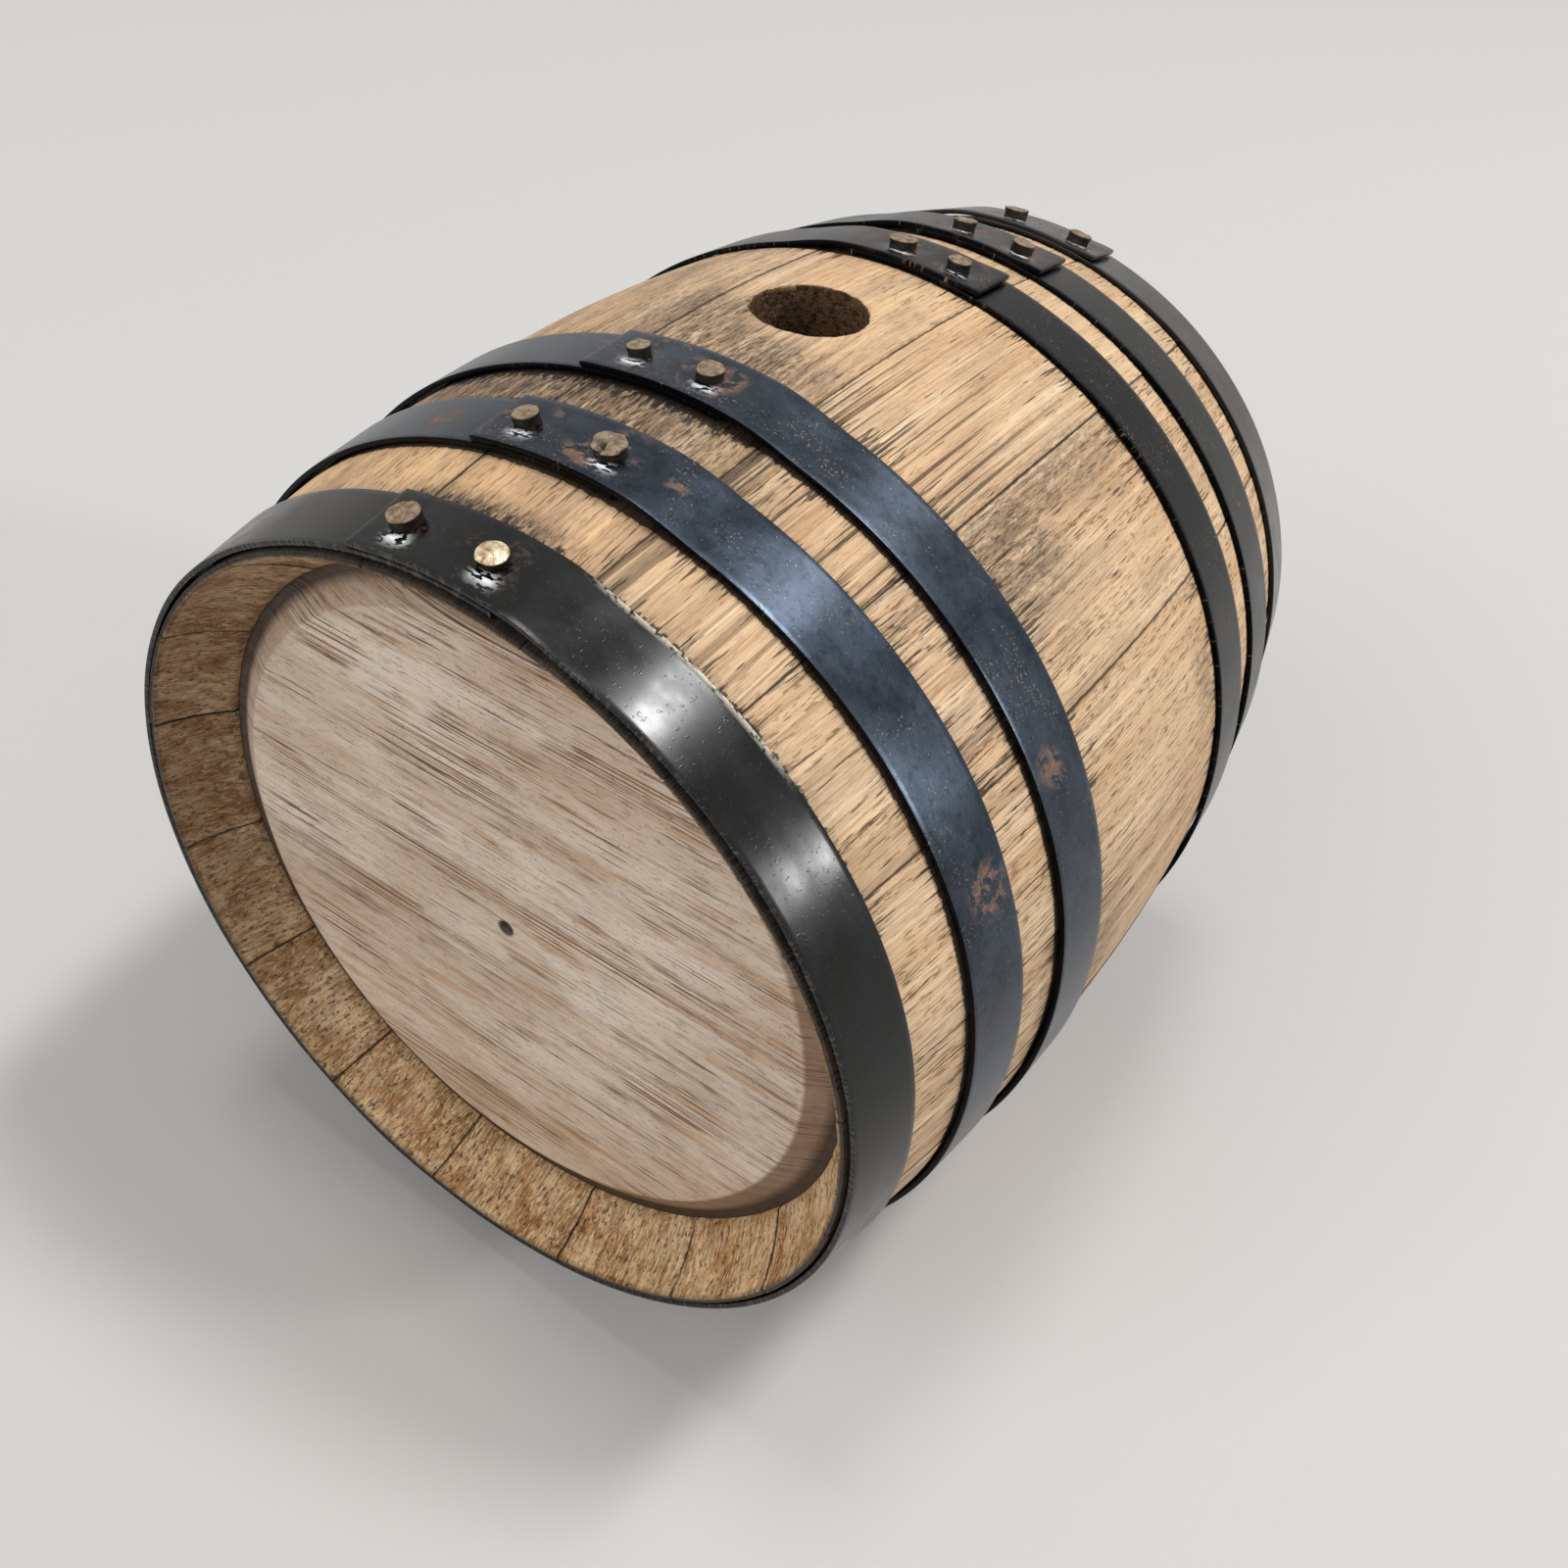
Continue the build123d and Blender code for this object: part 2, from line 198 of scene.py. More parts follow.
for name, (direction, distance, width, depth, watts) in LAMPS.items():
    lamp = bpy.data.objects.new(name, bpy.data.lights.new(name, "AREA"))
    lamp.data.shape = "RECTANGLE"
    lamp.data.size = width
    lamp.data.size_y = depth
    lamp.data.energy = watts
    towards = Vector(direction).normalized()
    turn = (-towards).to_track_quat("-Z", "Y").to_matrix().to_4x4()
    lamp.matrix_world = Matrix.Translation(LAMP_TARGET + towards * distance) @ turn
    bpy.context.scene.collection.objects.link(lamp)

world = bpy.data.worlds.new("studio")
bpy.context.scene.world = world
world.use_nodes = True
tree = world.node_tree
tree.nodes.clear()
rays = add(tree, "ShaderNodeLightPath")
seen = rays.outputs["Is Camera Ray"]
for kind in ("Is Glossy Ray", "Is Transmission Ray"):
    seen = add(tree, "ShaderNodeMath", {0: seen, 1: rays.outputs[kind]}, operation="MAXIMUM").outputs[0]
soft_fill = add(tree, "ShaderNodeBackground", {"Color": linear(FILL_COLOUR), "Strength": WORLD_FILL})
backdrop = add(tree, "ShaderNodeBackground", {"Color": linear(BACKDROP_COLOUR), "Strength": 1.0})
mixed = add(tree, "ShaderNodeMixShader", {0: seen, 1: soft_fill.outputs[0], 2: backdrop.outputs[0]})
add(tree, "ShaderNodeOutputWorld", {"Surface": mixed.outputs[0]})
bpy.context.scene.view_settings.view_transform = "Standard"
print("lamps:", ", ".join(LAMPS), "and a fill of", WORLD_FILL)

# %% [markdown]
# ## Measuring the barrel
#
# Nothing below guesses where a piece lies. The axis, the bulge, the width of each stave, the edges
# of each hoop and the places of the rivets are read from the solids. A place on a barrel is easiest
# as a radius, a turn from straight up, and a distance along, so two helpers go back and forth.

# %% Axis, bulge, hoops and rivets
STAVE_NAMES = ["bung_stave"] + [f"stave_{number:02d}" for number in range(2, 17)]
SAME_PLACE = 0.02 * MM
HOOP_NAMES = [f"{end}_{place}" for end in ("plain_end", "tap_end") for place in ("head", "quarter", "bilge")]

plain_low, plain_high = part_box("plain_head")
axis_z = (plain_low.z + plain_high.z) / 2


def on_barrel(radius, turn, y):
    """Point at a radius and a turn round the barrel's axis."""
    return Vector((radius * math.sin(turn), y, axis_z + radius * math.cos(turn)))


def polar(point):
    """Radius and turn of a point, the inverse of on_barrel."""
    return math.hypot(point.x, point.z - axis_z), math.atan2(point.x, point.z - axis_z)


def node_points(name):
    """The corners of a solid's mesh."""
    return [vertex.co for vertex in nodes[name].data.vertices]


def turn_range(points):
    """First and last turn of a set of points that goes less than half round."""
    middle = sum((Vector((p.x, p.z - axis_z)) for p in points), Vector((0, 0)))
    centre = math.atan2(middle.x, middle.y)
    offsets = [math.remainder(polar(p)[1] - centre, 2 * math.pi) for p in points]
    return centre + min(offsets), centre + max(offsets)


stave_turns = {name: turn_range(node_points(name)) for name in STAVE_NAMES}
stave_corners = node_points("stave_02")
half_length = max(p.y for p in stave_corners)
bilge_radius = max(polar(p)[0] for p in stave_corners)
end_radius = max(polar(p)[0] for p in stave_corners if p.y > half_length - SAME_PLACE)
bulge = bilge_radius - end_radius
bulge_radius = (half_length**2 + bulge**2) / (2 * bulge)


def barrel_radius(y, depth=0.0):
    """Radius of the barrel at y, on the outside or at a depth below it."""
    return bilge_radius - bulge_radius + math.sqrt((bulge_radius - depth) ** 2 - y**2)


hoop_spans = {}
for name in HOOP_NAMES:
    low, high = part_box(f"{name}_hoop")
    hoop_spans[name] = (low.y, high.y)

rivet_turns = {}
for name in HOOP_NAMES:
    points = node_points(f"{name}_rivets")
    first, last = turn_range(points)
    middle = (first + last) / 2
    halves = [[p for p in points if (polar(p)[1] > middle) == right] for right in (False, True)]
    rivet_turns[name] = [sum(turn_range(half)) / 2 for half in halves]

print("axis at", round(axis_z / MM, 1), "mm")
print("radius at the bilge", round(bilge_radius / MM, 1), "mm, at the ends", round(end_radius / MM, 1), "mm")
print("stave widths in degrees:", [round(math.degrees(b - a), 1) for a, b in stave_turns.values()])

# %% [markdown]
# ## Patterns that several finishes share
#
# Wood, rust and worn lacquer are all built up in layers: a base colour, then stains that a mask
# lets through. The masks come from noise that is stretched to a real size in millimetres, long
# along the grain and short across it. One helper makes such a mask, one overlaps several masks,
# one lays the stains, and one adds masks up to a height for the bump.

# %% Masks and layers
def place_in_mm(tree):
    """Object coordinates in millimetres."""
    place = add(tree, "ShaderNodeTexCoord").outputs["Object"]
    return add(tree, "ShaderNodeVectorMath", {0: place, "Scale": 1 / MM}, operation="SCALE").outputs[0]


def mottle(tree, place, size, low, high, detail=2.0, seed=0.0):
    """Mask of noise with blobs of a size in mm: 0 where the noise is below low, 1 above high."""
    scaled = add(tree, "ShaderNodeMapping",
                 {"Vector": place, "Scale": [1 / side for side in size], "Location": (seed, seed, seed)})
    cloud = add(tree, "ShaderNodeTexNoise",
                {"Vector": scaled.outputs[0], "Scale": 1.0, "Detail": detail, "Roughness": 0.6})
    return add(tree, "ShaderNodeMapRange", {"Value": cloud.outputs[0], "From Min": low, "From Max": high},
               interpolation_type="SMOOTHSTEP").outputs[0]


def overlap(tree, *masks):
    """Mask that lets through only what all of these masks let through: their product."""
    shared = masks[0]
    for mask in masks[1:]:
        shared = add(tree, "ShaderNodeMath", {0: shared, 1: mask}, operation="MULTIPLY").outputs[0]
    return shared


def build_up(tree, base, steps):
    """A base plus each mask times its own amount, for a height or a reach."""
    for mask, amount in steps:
        base = add(tree, "ShaderNodeMath", {0: mask, 1: amount, 2: base}, operation="MULTIPLY_ADD").outputs[0]
    return base


def lay_stains(tree, colour, stains):
    """Lay stains over a colour, each as (hex colour, mask socket, strength)."""
    for hex_colour, mask, strength in stains:
        share = add(tree, "ShaderNodeMath", {0: mask, 1: strength}, operation="MULTIPLY", use_clamp=True)
        stained = {0: share.outputs[0], 6: colour, 7: linear(hex_colour)}
        colour = add(tree, "ShaderNodeMix", stained, data_type="RGBA").outputs[2]
    return colour


print("pattern helpers ready")

# %% [markdown]
# ## Weathered oak for the staves
#
# The staves are split and planed oak that spent years under iron hoops. The eye sees a tan ground,
# brown growth lines along the stave, short dark pores, grey weathering in patches, and black
# streaks that run along the grain from each hoop, where the iron stained the wood. Along each hoop's
# edge a dark seam is char with painted contact shade. Cut ends are browner, with painted shade on
# one side of each chime and painted light below, and the inside is charred. The pattern follows
# each stave, so it reads an attribute "grain": millimetres across, along and below the surface.

# %% Marks that the hoops left on the oak
STREAK_REACH_MM = 4.0


def iron_marks(tree, grain, hoop_gap, joint_gap, soot_and_shade, soiled):
    """Masks of iron streaks, of the seam along a hoop, char with painted contact shade, and of joint dirt."""
    # Thin streaks in clusters grow denser towards a hoop and fade within millimetres
    reach = add(tree, "ShaderNodeMath", {0: hoop_gap, 1: -STREAK_REACH_MM}, operation="DIVIDE").outputs[0]
    nearness = add(tree, "ShaderNodeMath", {0: reach}, operation="EXPONENT").outputs[0]
    clusters = mottle(tree, grain, (6, 14, 6), 0.36, 0.6, detail=2, seed=18)
    streaks = mottle(tree, grain, (0.36, 8, 0.36), 0.25, 0.85, detail=3, seed=3)
    streaks = build_up(tree, streaks, [(overlap(tree, nearness, soiled, clusters), 0.42)])
    iron = add(tree, "ShaderNodeMapRange", {"Value": streaks, "From Min": 0.71, "From Max": 0.82},
               interpolation_type="SMOOTHSTEP").outputs[0]

    # The seam, char with painted contact shade, is ragged, and widest where soot lies
    ragged = mottle(tree, grain, (0.9, 2.0, 0.9), 0.35, 0.7, detail=4, seed=9)
    seam_reach = build_up(tree, 0.15, [(ragged, build_up(tree, 0.4, [(soot_and_shade, 4.5)]))])
    seam_core = add(tree, "ShaderNodeMath", {0: seam_reach, 1: 0.6}, operation="MULTIPLY").outputs[0]
    seam_char_and_shade = add(tree, "ShaderNodeMapRange",
               {"Value": hoop_gap, "From Min": seam_reach, "From Max": seam_core}).outputs[0]
    joint_reach = build_up(tree, 0.2, [(ragged, 0.4)])
    joint = add(tree, "ShaderNodeMapRange",
                {"Value": joint_gap, "From Min": joint_reach, "From Max": 0.05}).outputs[0]
    return iron, seam_char_and_shade, joint


print("hoop marks reach about", STREAK_REACH_MM, "mm")

# %% Grain of the oak
def grain_marks(tree, grain, pores):
    """Masks of growth lines, fibres and hairs, and of pores in rows like the teeth of a comb."""
    growth = mottle(tree, grain, (1.7, 170, 1.7), 0.40, 0.62, detail=1, seed=8)
    fibres = mottle(tree, grain, (0.34, 38, 0.34), 0.40, 0.68, detail=3, seed=14)
    hairs = mottle(tree, grain, (0.2, 9, 0.2), 0.60, 0.66, detail=1, seed=19)
    dashes = mottle(tree, grain, (0.3, 2.4, 0.3), 0.57, 0.63, detail=1, seed=2)
    rows = build_up(tree, 0.25, [(growth, 0.75)])
    return growth, fibres, hairs, overlap(tree, dashes, rows, pores)


def cut_oak(tree, grain, bored, soot_and_shade, soot_and_shade_mask, warm, joint):
    """Colour of cut wood, with the relief of its end grain and of the bung's dark bore."""
    end_lines = mottle(tree, grain, (0.55, 4, 4), 0.44, 0.62, detail=4, seed=11)
    end_tone = mottle(tree, grain, (5, 7, 7), 0.35, 0.65, detail=5, seed=15)
    frayed = mottle(tree, grain, (0.45, 1.6, 1.6), 0.53, 0.61, detail=3, seed=16)
    torn = mottle(tree, grain, (0.6, 1.2, 1.2), 0.56, 0.63, detail=3, seed=17)
    bore_lumps = overlap(tree, mottle(tree, grain, (0.8, 0.8, 0.8), 0.54, 0.66, detail=5, seed=21), bored)
    bore_pits = overlap(tree, mottle(tree, grain, (1.2, 0.7, 0.7), 0.48, 0.6, detail=5, seed=22), bored)
    colour = lay_stains(tree, linear("#b98750"), [
        ("#ffdaaa", end_tone, 1.0),
        ("#cb965c", warm, 0.5),
        ("#6b482d", end_lines, 0.55),
        ("#40270f", torn, 0.75),
        ("#f8dfb6", frayed, 0.65),
        # soot on cut ends, and painted shade on one side of each chime
        ("#6a4631", soot_and_shade, 0.7),
        ("#33241a", soot_and_shade_mask, 0.55),
        ("#1c130c", joint, 0.95),
        ("#5d4129", bored, 0.96),
        ("#170f0a", bore_pits, 0.75),
        ("#8a6444", bore_lumps, 0.75),
    ])
    end_relief = [(frayed, 1.2), (torn, -1.5), (end_lines, -1.0)]
    return colour, end_relief, [(bore_lumps, 2.0), (bore_pits, -2.5)]


print("grain and cut ends described")

# %% Oak for the staves
def weathered_oak():
    """Planed oak, weathered and iron-stained: matt, with grain in every size."""
    finish, tree, shader = new_finish("planed_weathered_oak")
    grain, look, wear, patch = [add(tree, "ShaderNodeAttribute", attribute_name=name).outputs["Vector"]
                                for name in ("grain", "look", "wear", "patch")]
    stripes, weathering, pores = add(tree, "ShaderNodeSeparateXYZ", {0: look}).outputs
    hoop_gap, joint_gap, bored = add(tree, "ShaderNodeSeparateXYZ", {0: wear}).outputs
    soot_and_shade, clean_and_lit, warm = add(tree, "ShaderNodeSeparateXYZ", {0: patch}).outputs
    depth = add(tree, "ShaderNodeSeparateXYZ", {0: grain}).outputs["Z"]
    soiled = add(tree, "ShaderNodeMath", {0: 1.0, 1: clean_and_lit}, operation="SUBTRACT", use_clamp=True).outputs[0]
    iron, seam_char_and_shade, joint = iron_marks(tree, grain, hoop_gap, joint_gap, soot_and_shade, soiled)
    growth, fibres, hairs, pore_mask = grain_marks(tree, grain, pores)

    # Thin dark stripes come and go along a stave, and weathering and soot lie in patches
    patches = mottle(tree, grain, (5, 26, 5), 0.30, 0.5, detail=1, seed=5)
    stripe_lines = mottle(tree, grain, (0.8, 110, 0.8), 0.53, 0.585, detail=2, seed=1)
    stripe_mask = overlap(tree, patches, stripe_lines, stripes, soiled)
    blotches = mottle(tree, grain, (5, 17, 5), 0.42, 0.64, detail=5, seed=7)
    weather_mask = overlap(tree, blotches, weathering)
    soot_and_shade_mask = overlap(tree, mottle(tree, grain, (0.9, 5, 0.9), 0.25, 0.62, detail=5, seed=4), soot_and_shade)
    soot_specks = overlap(tree, mottle(tree, grain, (0.4, 1.7, 0.4), 0.51, 0.59, detail=4, seed=20), soot_and_shade)
    tone = mottle(tree, grain, (8, 60, 8), 0.3, 0.7, detail=2, seed=6)
    outside = lay_stains(tree, linear("#d6b087"), [
        ("#e8cba6", tone, 1.0),
        ("#d09a5c", warm, 0.85),
        ("#b98e62", growth, 0.42),
        ("#9d7550", fibres, 0.36),
        ("#7d5b3d", hairs, 0.45),
        ("#ecd0ab", clean_and_lit, 0.36),
        ("#93704f", weather_mask, 0.45),
        ("#82756a", weather_mask, 0.55),
        ("#74502f", pore_mask, 0.9),
        ("#3d3024", stripe_mask, 0.82),
        ("#5a4b3c", soot_and_shade_mask, 0.9),
        ("#251d16", soot_specks, 0.8),
        ("#211a15", iron, 0.85),
        # painted contact shade and char in a seam along each hoop's edge
        ("#151110", seam_char_and_shade, 0.92),
        ("#21170f", joint, 0.85),
    ])

    # Below the outside the wood is cut, and at the inside of the barrel it is charred
    cut = add(tree, "ShaderNodeMapRange", {"Value": depth, "From Min": 0.5, "From Max": 1.3}).outputs[0]
    cut = add(tree, "ShaderNodeMath", {0: cut, 1: bored}, operation="MAXIMUM").outputs[0]
    cut_colour, end_relief, bore_relief = cut_oak(tree, grain, bored, soot_and_shade, soot_and_shade_mask, warm, joint)
    colour = add(tree, "ShaderNodeMix", {0: cut, 6: outside, 7: cut_colour}, data_type="RGBA").outputs[2]
    char = add(tree, "ShaderNodeMapRange", {"Value": depth, "From Min": 9.3, "From Max": 9.9}).outputs[0]
    colour = lay_stains(tree, colour, [("#14100d", char, 1.0)])

    height = build_up(tree, 1.0, [(fibres, -0.6), (pore_mask, -0.5), (stripe_mask, -0.4), (iron, -0.3),
                                  (soot_specks, -0.5)])
    height = build_up(tree, height, [(overlap(tree, lump, cut), rise) for lump, rise in end_relief])
    height = build_up(tree, height, bore_relief)
    bump = add(tree, "ShaderNodeBump", {"Height": height, "Strength": 0.6, "Distance": 0.25 * MM})
    roughness = add(tree, "ShaderNodeMapRange", {"Value": fibres, "To Min": 0.58, "To Max": 0.78})
    fill(tree, shader, {"Base Color": colour, "Roughness": roughness.outputs[0], "Normal": bump.outputs[0],
                        "Specular IOR Level": 0.3})
    return finish


oak = weathered_oak()
print("made", oak.name, "with", len(oak.node_tree.nodes), "nodes")

# %% [markdown]
# ## The shape of a stave
#
# A stave is a slice of a body of revolution: the same lengthwise section all along its width. So
# the section is drawn once, as radius and distance along, and spun through the stave's own angle.
# The outside has corners exactly at the hoops' edges, so that the distance to a hoop, stored on
# the corners, is right in between too.

# %% Section of a stave
STATION_STEP = 3.0 * MM
STAVE_THICKNESS = 10.0 * MM
CHIME_LAND = 0.8 * MM
CHIME_DEPTH = 10.1 * MM
CHIME_BEVEL = 4.9 * MM
CHIME_HOLLOW = 0.5 * MM
CROZE_LAND = 0.8 * MM
CROZE_WIDTH = 4.4 * MM
CROZE_DEPTH = 2.6 * MM
BEVEL_STEPS = 6

chime_inner_radius = end_radius - CHIME_LAND - CHIME_BEVEL
chime_end = half_length - CHIME_DEPTH
croze_outer = chime_end - CROZE_LAND
croze_inner = croze_outer - CROZE_WIDTH
croze_radius = chime_inner_radius + CROZE_DEPTH


def stations(stops, step):
    """Places from the first stop to the last, through every stop and every middle between two."""
    places = []
    for first, last in zip(stops, stops[1:]):
        count = 2 * max(1, round((last - first) / step / 2))
        places += [first + (last - first) * index / count for index in range(count)]
    return places + [stops[-1]]


def stave_end():
    """Section of the chime and croze at the end towards +Y, from the rim inwards."""
    rim = Vector((end_radius - CHIME_LAND, half_length))
    foot = Vector((chime_inner_radius, chime_end))
    span = rim - foot
    hollow = Vector((span.y, -span.x)).normalized() * CHIME_HOLLOW
    shares = [index / BEVEL_STEPS for index in range(BEVEL_STEPS + 1)]
    bevel = [rim.lerp(foot, share) + hollow * 4 * share * (1 - share) for share in shares]
    lip_radius = barrel_radius(croze_inner, STAVE_THICKNESS)
    croze = [(chime_inner_radius, croze_outer), (croze_radius, croze_outer), (croze_radius, croze_inner),
             (lip_radius, croze_inner)]
    return [tuple(point) for point in bevel] + croze


hoop_edges = sorted(edge for span in hoop_spans.values() for edge in span)
outer_places = stations([-half_length, *hoop_edges, half_length], STATION_STEP)
inner_places = stations([croze_inner, -croze_inner], 2 * STATION_STEP)[1:-1]
stave_section = [(barrel_radius(y), y) for y in outer_places]
stave_section += stave_end()
stave_section += [(barrel_radius(y, STAVE_THICKNESS), y) for y in inner_places]
stave_section += [(radius, -y) for radius, y in reversed(stave_end())]
print("stave section:", len(stave_section), "corners,", len(outer_places), "of them outside")

# %% [markdown]
# ## Sixteen staves
#
# Each stave sits a hair lower or higher than its neighbours and has its long edges broken a little,
# which is what draws the dark line between two staves. Its looks differ too: some are striped, some
# are grey, some are full of pores. Those three strengths are stored on the stave, together with the
# distances that the oak reads. Sooty, clean and warm patches are set by place; inside the chimes
# they paint shade on one side and light below.

# %% Looks of each stave and patches
STAVE_LOOKS = {
    # name: dark stripes, grey weathering, pores, how far the stave sits below its neighbours in mm
    "bung_stave": (0.50, 0.40, 0.55, 0.10), "stave_02": (1.00, 0.20, 0.35, 0.00),
    "stave_03": (0.45, 0.35, 0.85, 0.14), "stave_04": (0.30, 0.08, 0.90, 0.05),
    "stave_05": (0.30, 0.15, 0.80, 0.16), "stave_06": (0.55, 0.45, 0.55, 0.03),
    "stave_07": (0.25, 0.35, 0.70, 0.12), "stave_08": (0.60, 0.30, 0.45, 0.06),
    "stave_09": (0.35, 0.50, 0.60, 0.15), "stave_10": (0.75, 0.25, 0.40, 0.02),
    "stave_11": (0.30, 0.40, 0.75, 0.11), "stave_12": (0.45, 0.55, 0.50, 0.05),
    "stave_13": (0.25, 0.30, 0.65, 0.16), "stave_14": (0.85, 0.35, 0.45, 0.04),
    "stave_15": (0.35, 0.45, 0.60, 0.12), "stave_16": (0.40, 0.65, 0.90, 0.03),
}
WOOD_PATCHES = [
    # turn in degrees, distance along in mm, half sizes in degrees and mm: soot, clean, warm;
    # in the chimes soot stands for painted shade and clean for painted light
    (-16, -37.3, 27, 6.5, (1.0, 0.0, 0.0)),
    (-22, -57.0, 30, 7.5, (0.0, 0.9, 0.95)),
    (-5, -62.0, 12, 3.2, (1.0, 0.0, 0.0)),
    (4, 7.0, 9, 16, (0.0, 0.85, 0.50)),
    (-4, -17.0, 14, 6, (0.85, 0.3, 0.0)),
    (-11, -9.0, 7, 8, (0.70, 0.0, 0.0)),
    (36, -14.0, 6.5, 9, (0.68, 0.0, 0.0)),
    (33, 4.0, 3.5, 16, (0.48, 0.0, 0.0)),
    (66, 17.5, 5, 3.5, (0.45, 0.0, 0.0)),
    (48, -57.5, 38, 9, (0.0, 0.55, 0.08)),
    (47, 7.0, 8, 17, (0.0, 0.8, 0.15)),
    (64, 3.0, 10, 15, (0.0, 0.7, 0.05)),
    (90, -18.0, 12, 6, (0.50, 0.0, 0.0)),
    (-24, 2.0, 11, 18, (0.30, 0.5, 0.1)),
    (30, 47.0, 60, 17, (0.0, 0.75, 0.10)),
    (150, 10.0, 25, 12, (0.5, 0.0, 0.0)),
    (-110, -15.0, 22, 14, (0.5, 0.0, 0.0)),
    (-75, 30.0, 16, 10, (0.0, 0.7, 0.4)),
    (-150, 38.0, 30, 7, (0.6, 0.0, 0.0)),
    (125, -45.0, 20, 12, (0.0, 0.7, 0.3)),
    # inside the chimes: painted shade on one side and painted light below, in the soot and clean columns
    (-80, -69.5, 55, 8, (0.60, 0.0, 0.0)),
    (5, -69.5, 50, 8, (0.50, 0.0, 0.0)),
    (150, -69.5, 60, 8, (0.0, 0.9, 0.5)),
    (-60, 69.5, 60, 8, (0.6, 0.0, 0.0)),
    (120, 69.5, 60, 8, (0.0, 0.9, 0.4)),
]


def gap_to_hoop(y):
    """Distance in metres from the nearest hoop, 0 under a hoop and on the rims of the barrel."""
    outermost = max(high for low, high in hoop_spans.values())
    if abs(y) > outermost:
        return 0.0
    return min(max(low - y, y - high, 0.0) for low, high in hoop_spans.values())


def wood_patch(turn, y):
    """Sooty, clean and warm amounts at a place from the patches round it; in chimes, painted shade and light.
    """
    amounts = [0.0, 0.0, 0.0]
    for patch_turn, patch_y, half_turn, half_y, strengths in WOOD_PATCHES:
        across = math.remainder(math.degrees(turn) - patch_turn, 360) / half_turn
        along = (y / MM - patch_y) / half_y
        cover = math.exp(-across**4 - along**4)
        amounts = [max(amount, strength * cover) for amount, strength in zip(amounts, strengths)]
    return amounts


print(len(STAVE_LOOKS), "looks and", len(WOOD_PATCHES), "patches")

# %% Spin the staves
STAVE_STEP = math.radians(1.4)
STAVE_EDGE = 0.28 * MM
GRAIN_SHIFT = 53.0
STRIPES_START = -12.0 * MM
STRIPES_END = 18.0 * MM
FADED_STRIPES = 0.25


def smooth_step(low, high, value):
    """0 at low, 1 at high, with a soft rise between, whichever of the two is larger."""
    share = min(max((value - low) / (high - low), 0.0), 1.0)
    return share * share * (3 - 2 * share)


def break_edges(bm, edges, offset, segments=2):
    """Round edges off a little, because no worked edge is a knife edge."""
    bmesh.ops.bevel(bm, geom=edges, offset=offset, affect="EDGES", segments=segments, profile=0.5,
                    material=-1)


def spin_stave(first, last):
    """A stave as a bmesh: its section spun from one turn to another, closed and with broken edges."""
    bm = bmesh.new()
    ring = [bm.verts.new(on_barrel(radius, first, y)) for radius, y in stave_section]
    loop = [bm.edges.new(pair) for pair in zip(ring, ring[1:] + ring[:1])]
    bmesh.ops.spin(bm, geom=ring + loop, cent=(0, 0, axis_z), axis=(0, 1, 0), angle=last - first,
                   steps=round((last - first) / STAVE_STEP), use_merge=False)
    sides = bmesh.ops.holes_fill(bm, edges=bm.edges[:], sides=0)["faces"]
    bmesh.ops.recalc_face_normals(bm, faces=bm.faces[:])

    def shows(edge):
        middle = (edge.verts[0].co + edge.verts[1].co) / 2
        return polar(middle)[0] > barrel_radius(middle.y) - SAME_PLACE or abs(middle.y) > chime_end

    break_edges(bm, [edge for side in sides for edge in side.edges if shows(edge)], STAVE_EDGE)
    return bm


def store_wood(piece, number, first, last, looks):
    """Store on a stave's corners what the oak reads: grain, look, wear and patch."""
    stored = {"grain": [], "look": [], "wear": [], "patch": []}
    for vertex in piece.data.vertices:
        x, y, z = vertex.co
        radius, turn = polar(vertex.co)
        offset = math.remainder(turn - (first + last) / 2, 2 * math.pi)
        edge_gap = max(0.0, (last - first) / 2 - abs(offset)) * radius
        depth = max(0.0, barrel_radius(y) - radius)
        stored["grain"] += [offset * radius / MM + GRAIN_SHIFT * number, y / MM, depth / MM]
        fade = smooth_step(STRIPES_END, STRIPES_START, y)
        stripes = looks[0] * (FADED_STRIPES + (1 - FADED_STRIPES) * fade)
        stored["look"] += [stripes, looks[1], looks[2]]
        bung_gap = math.hypot(x - bung_place.x, y - bung_place.y)
        by_bung = z > axis_z and bung_gap < bung_radius + 4 * BUNG_ROUGHNESS
        bored = by_bung and depth > BUNG_RIM / 2
        stored["wear"] += [gap_to_hoop(y) / MM, edge_gap / MM, float(bored)]
        stored["patch"] += wood_patch(turn, y)
    for name, values in stored.items():
        piece.data.attributes.new(name, "FLOAT_VECTOR", "POINT").data.foreach_set("vector", values)


staves = {}
for name in STAVE_NAMES:
    first, last = stave_turns[name]
    stave_bm = spin_stave(first, last)
    sunk = STAVE_LOOKS[name][3] * MM
    lowered = on_barrel(-sunk, (first + last) / 2, 0) - on_barrel(0, 0, 0)
    bmesh.ops.translate(stave_bm, verts=stave_bm.verts[:], vec=lowered)
    staves[name] = finish_piece(stave_bm, f"{name}_oak", oak, "barrel", name)
print("spun", len(staves), "staves")

# %% [markdown]
# ## The bung hole
#
# The hole was bored straight down through the top stave, and its rim is a little worn. A Boolean
# modifier with a round cutter makes the bore and is applied at once. The edges round a hole are
# then found by their distance from its axis and broken with a bevel. The heads need holes too, so
# the cutting is a helper.

# %% Bore the bung hole
BORE_SIDES = 96
BORE_RINGS = 50
BORE_LUMPS_PER_MM = 0.7
BUNG_ROUGHNESS = 0.22 * MM
BUNG_RIM = 0.4 * MM


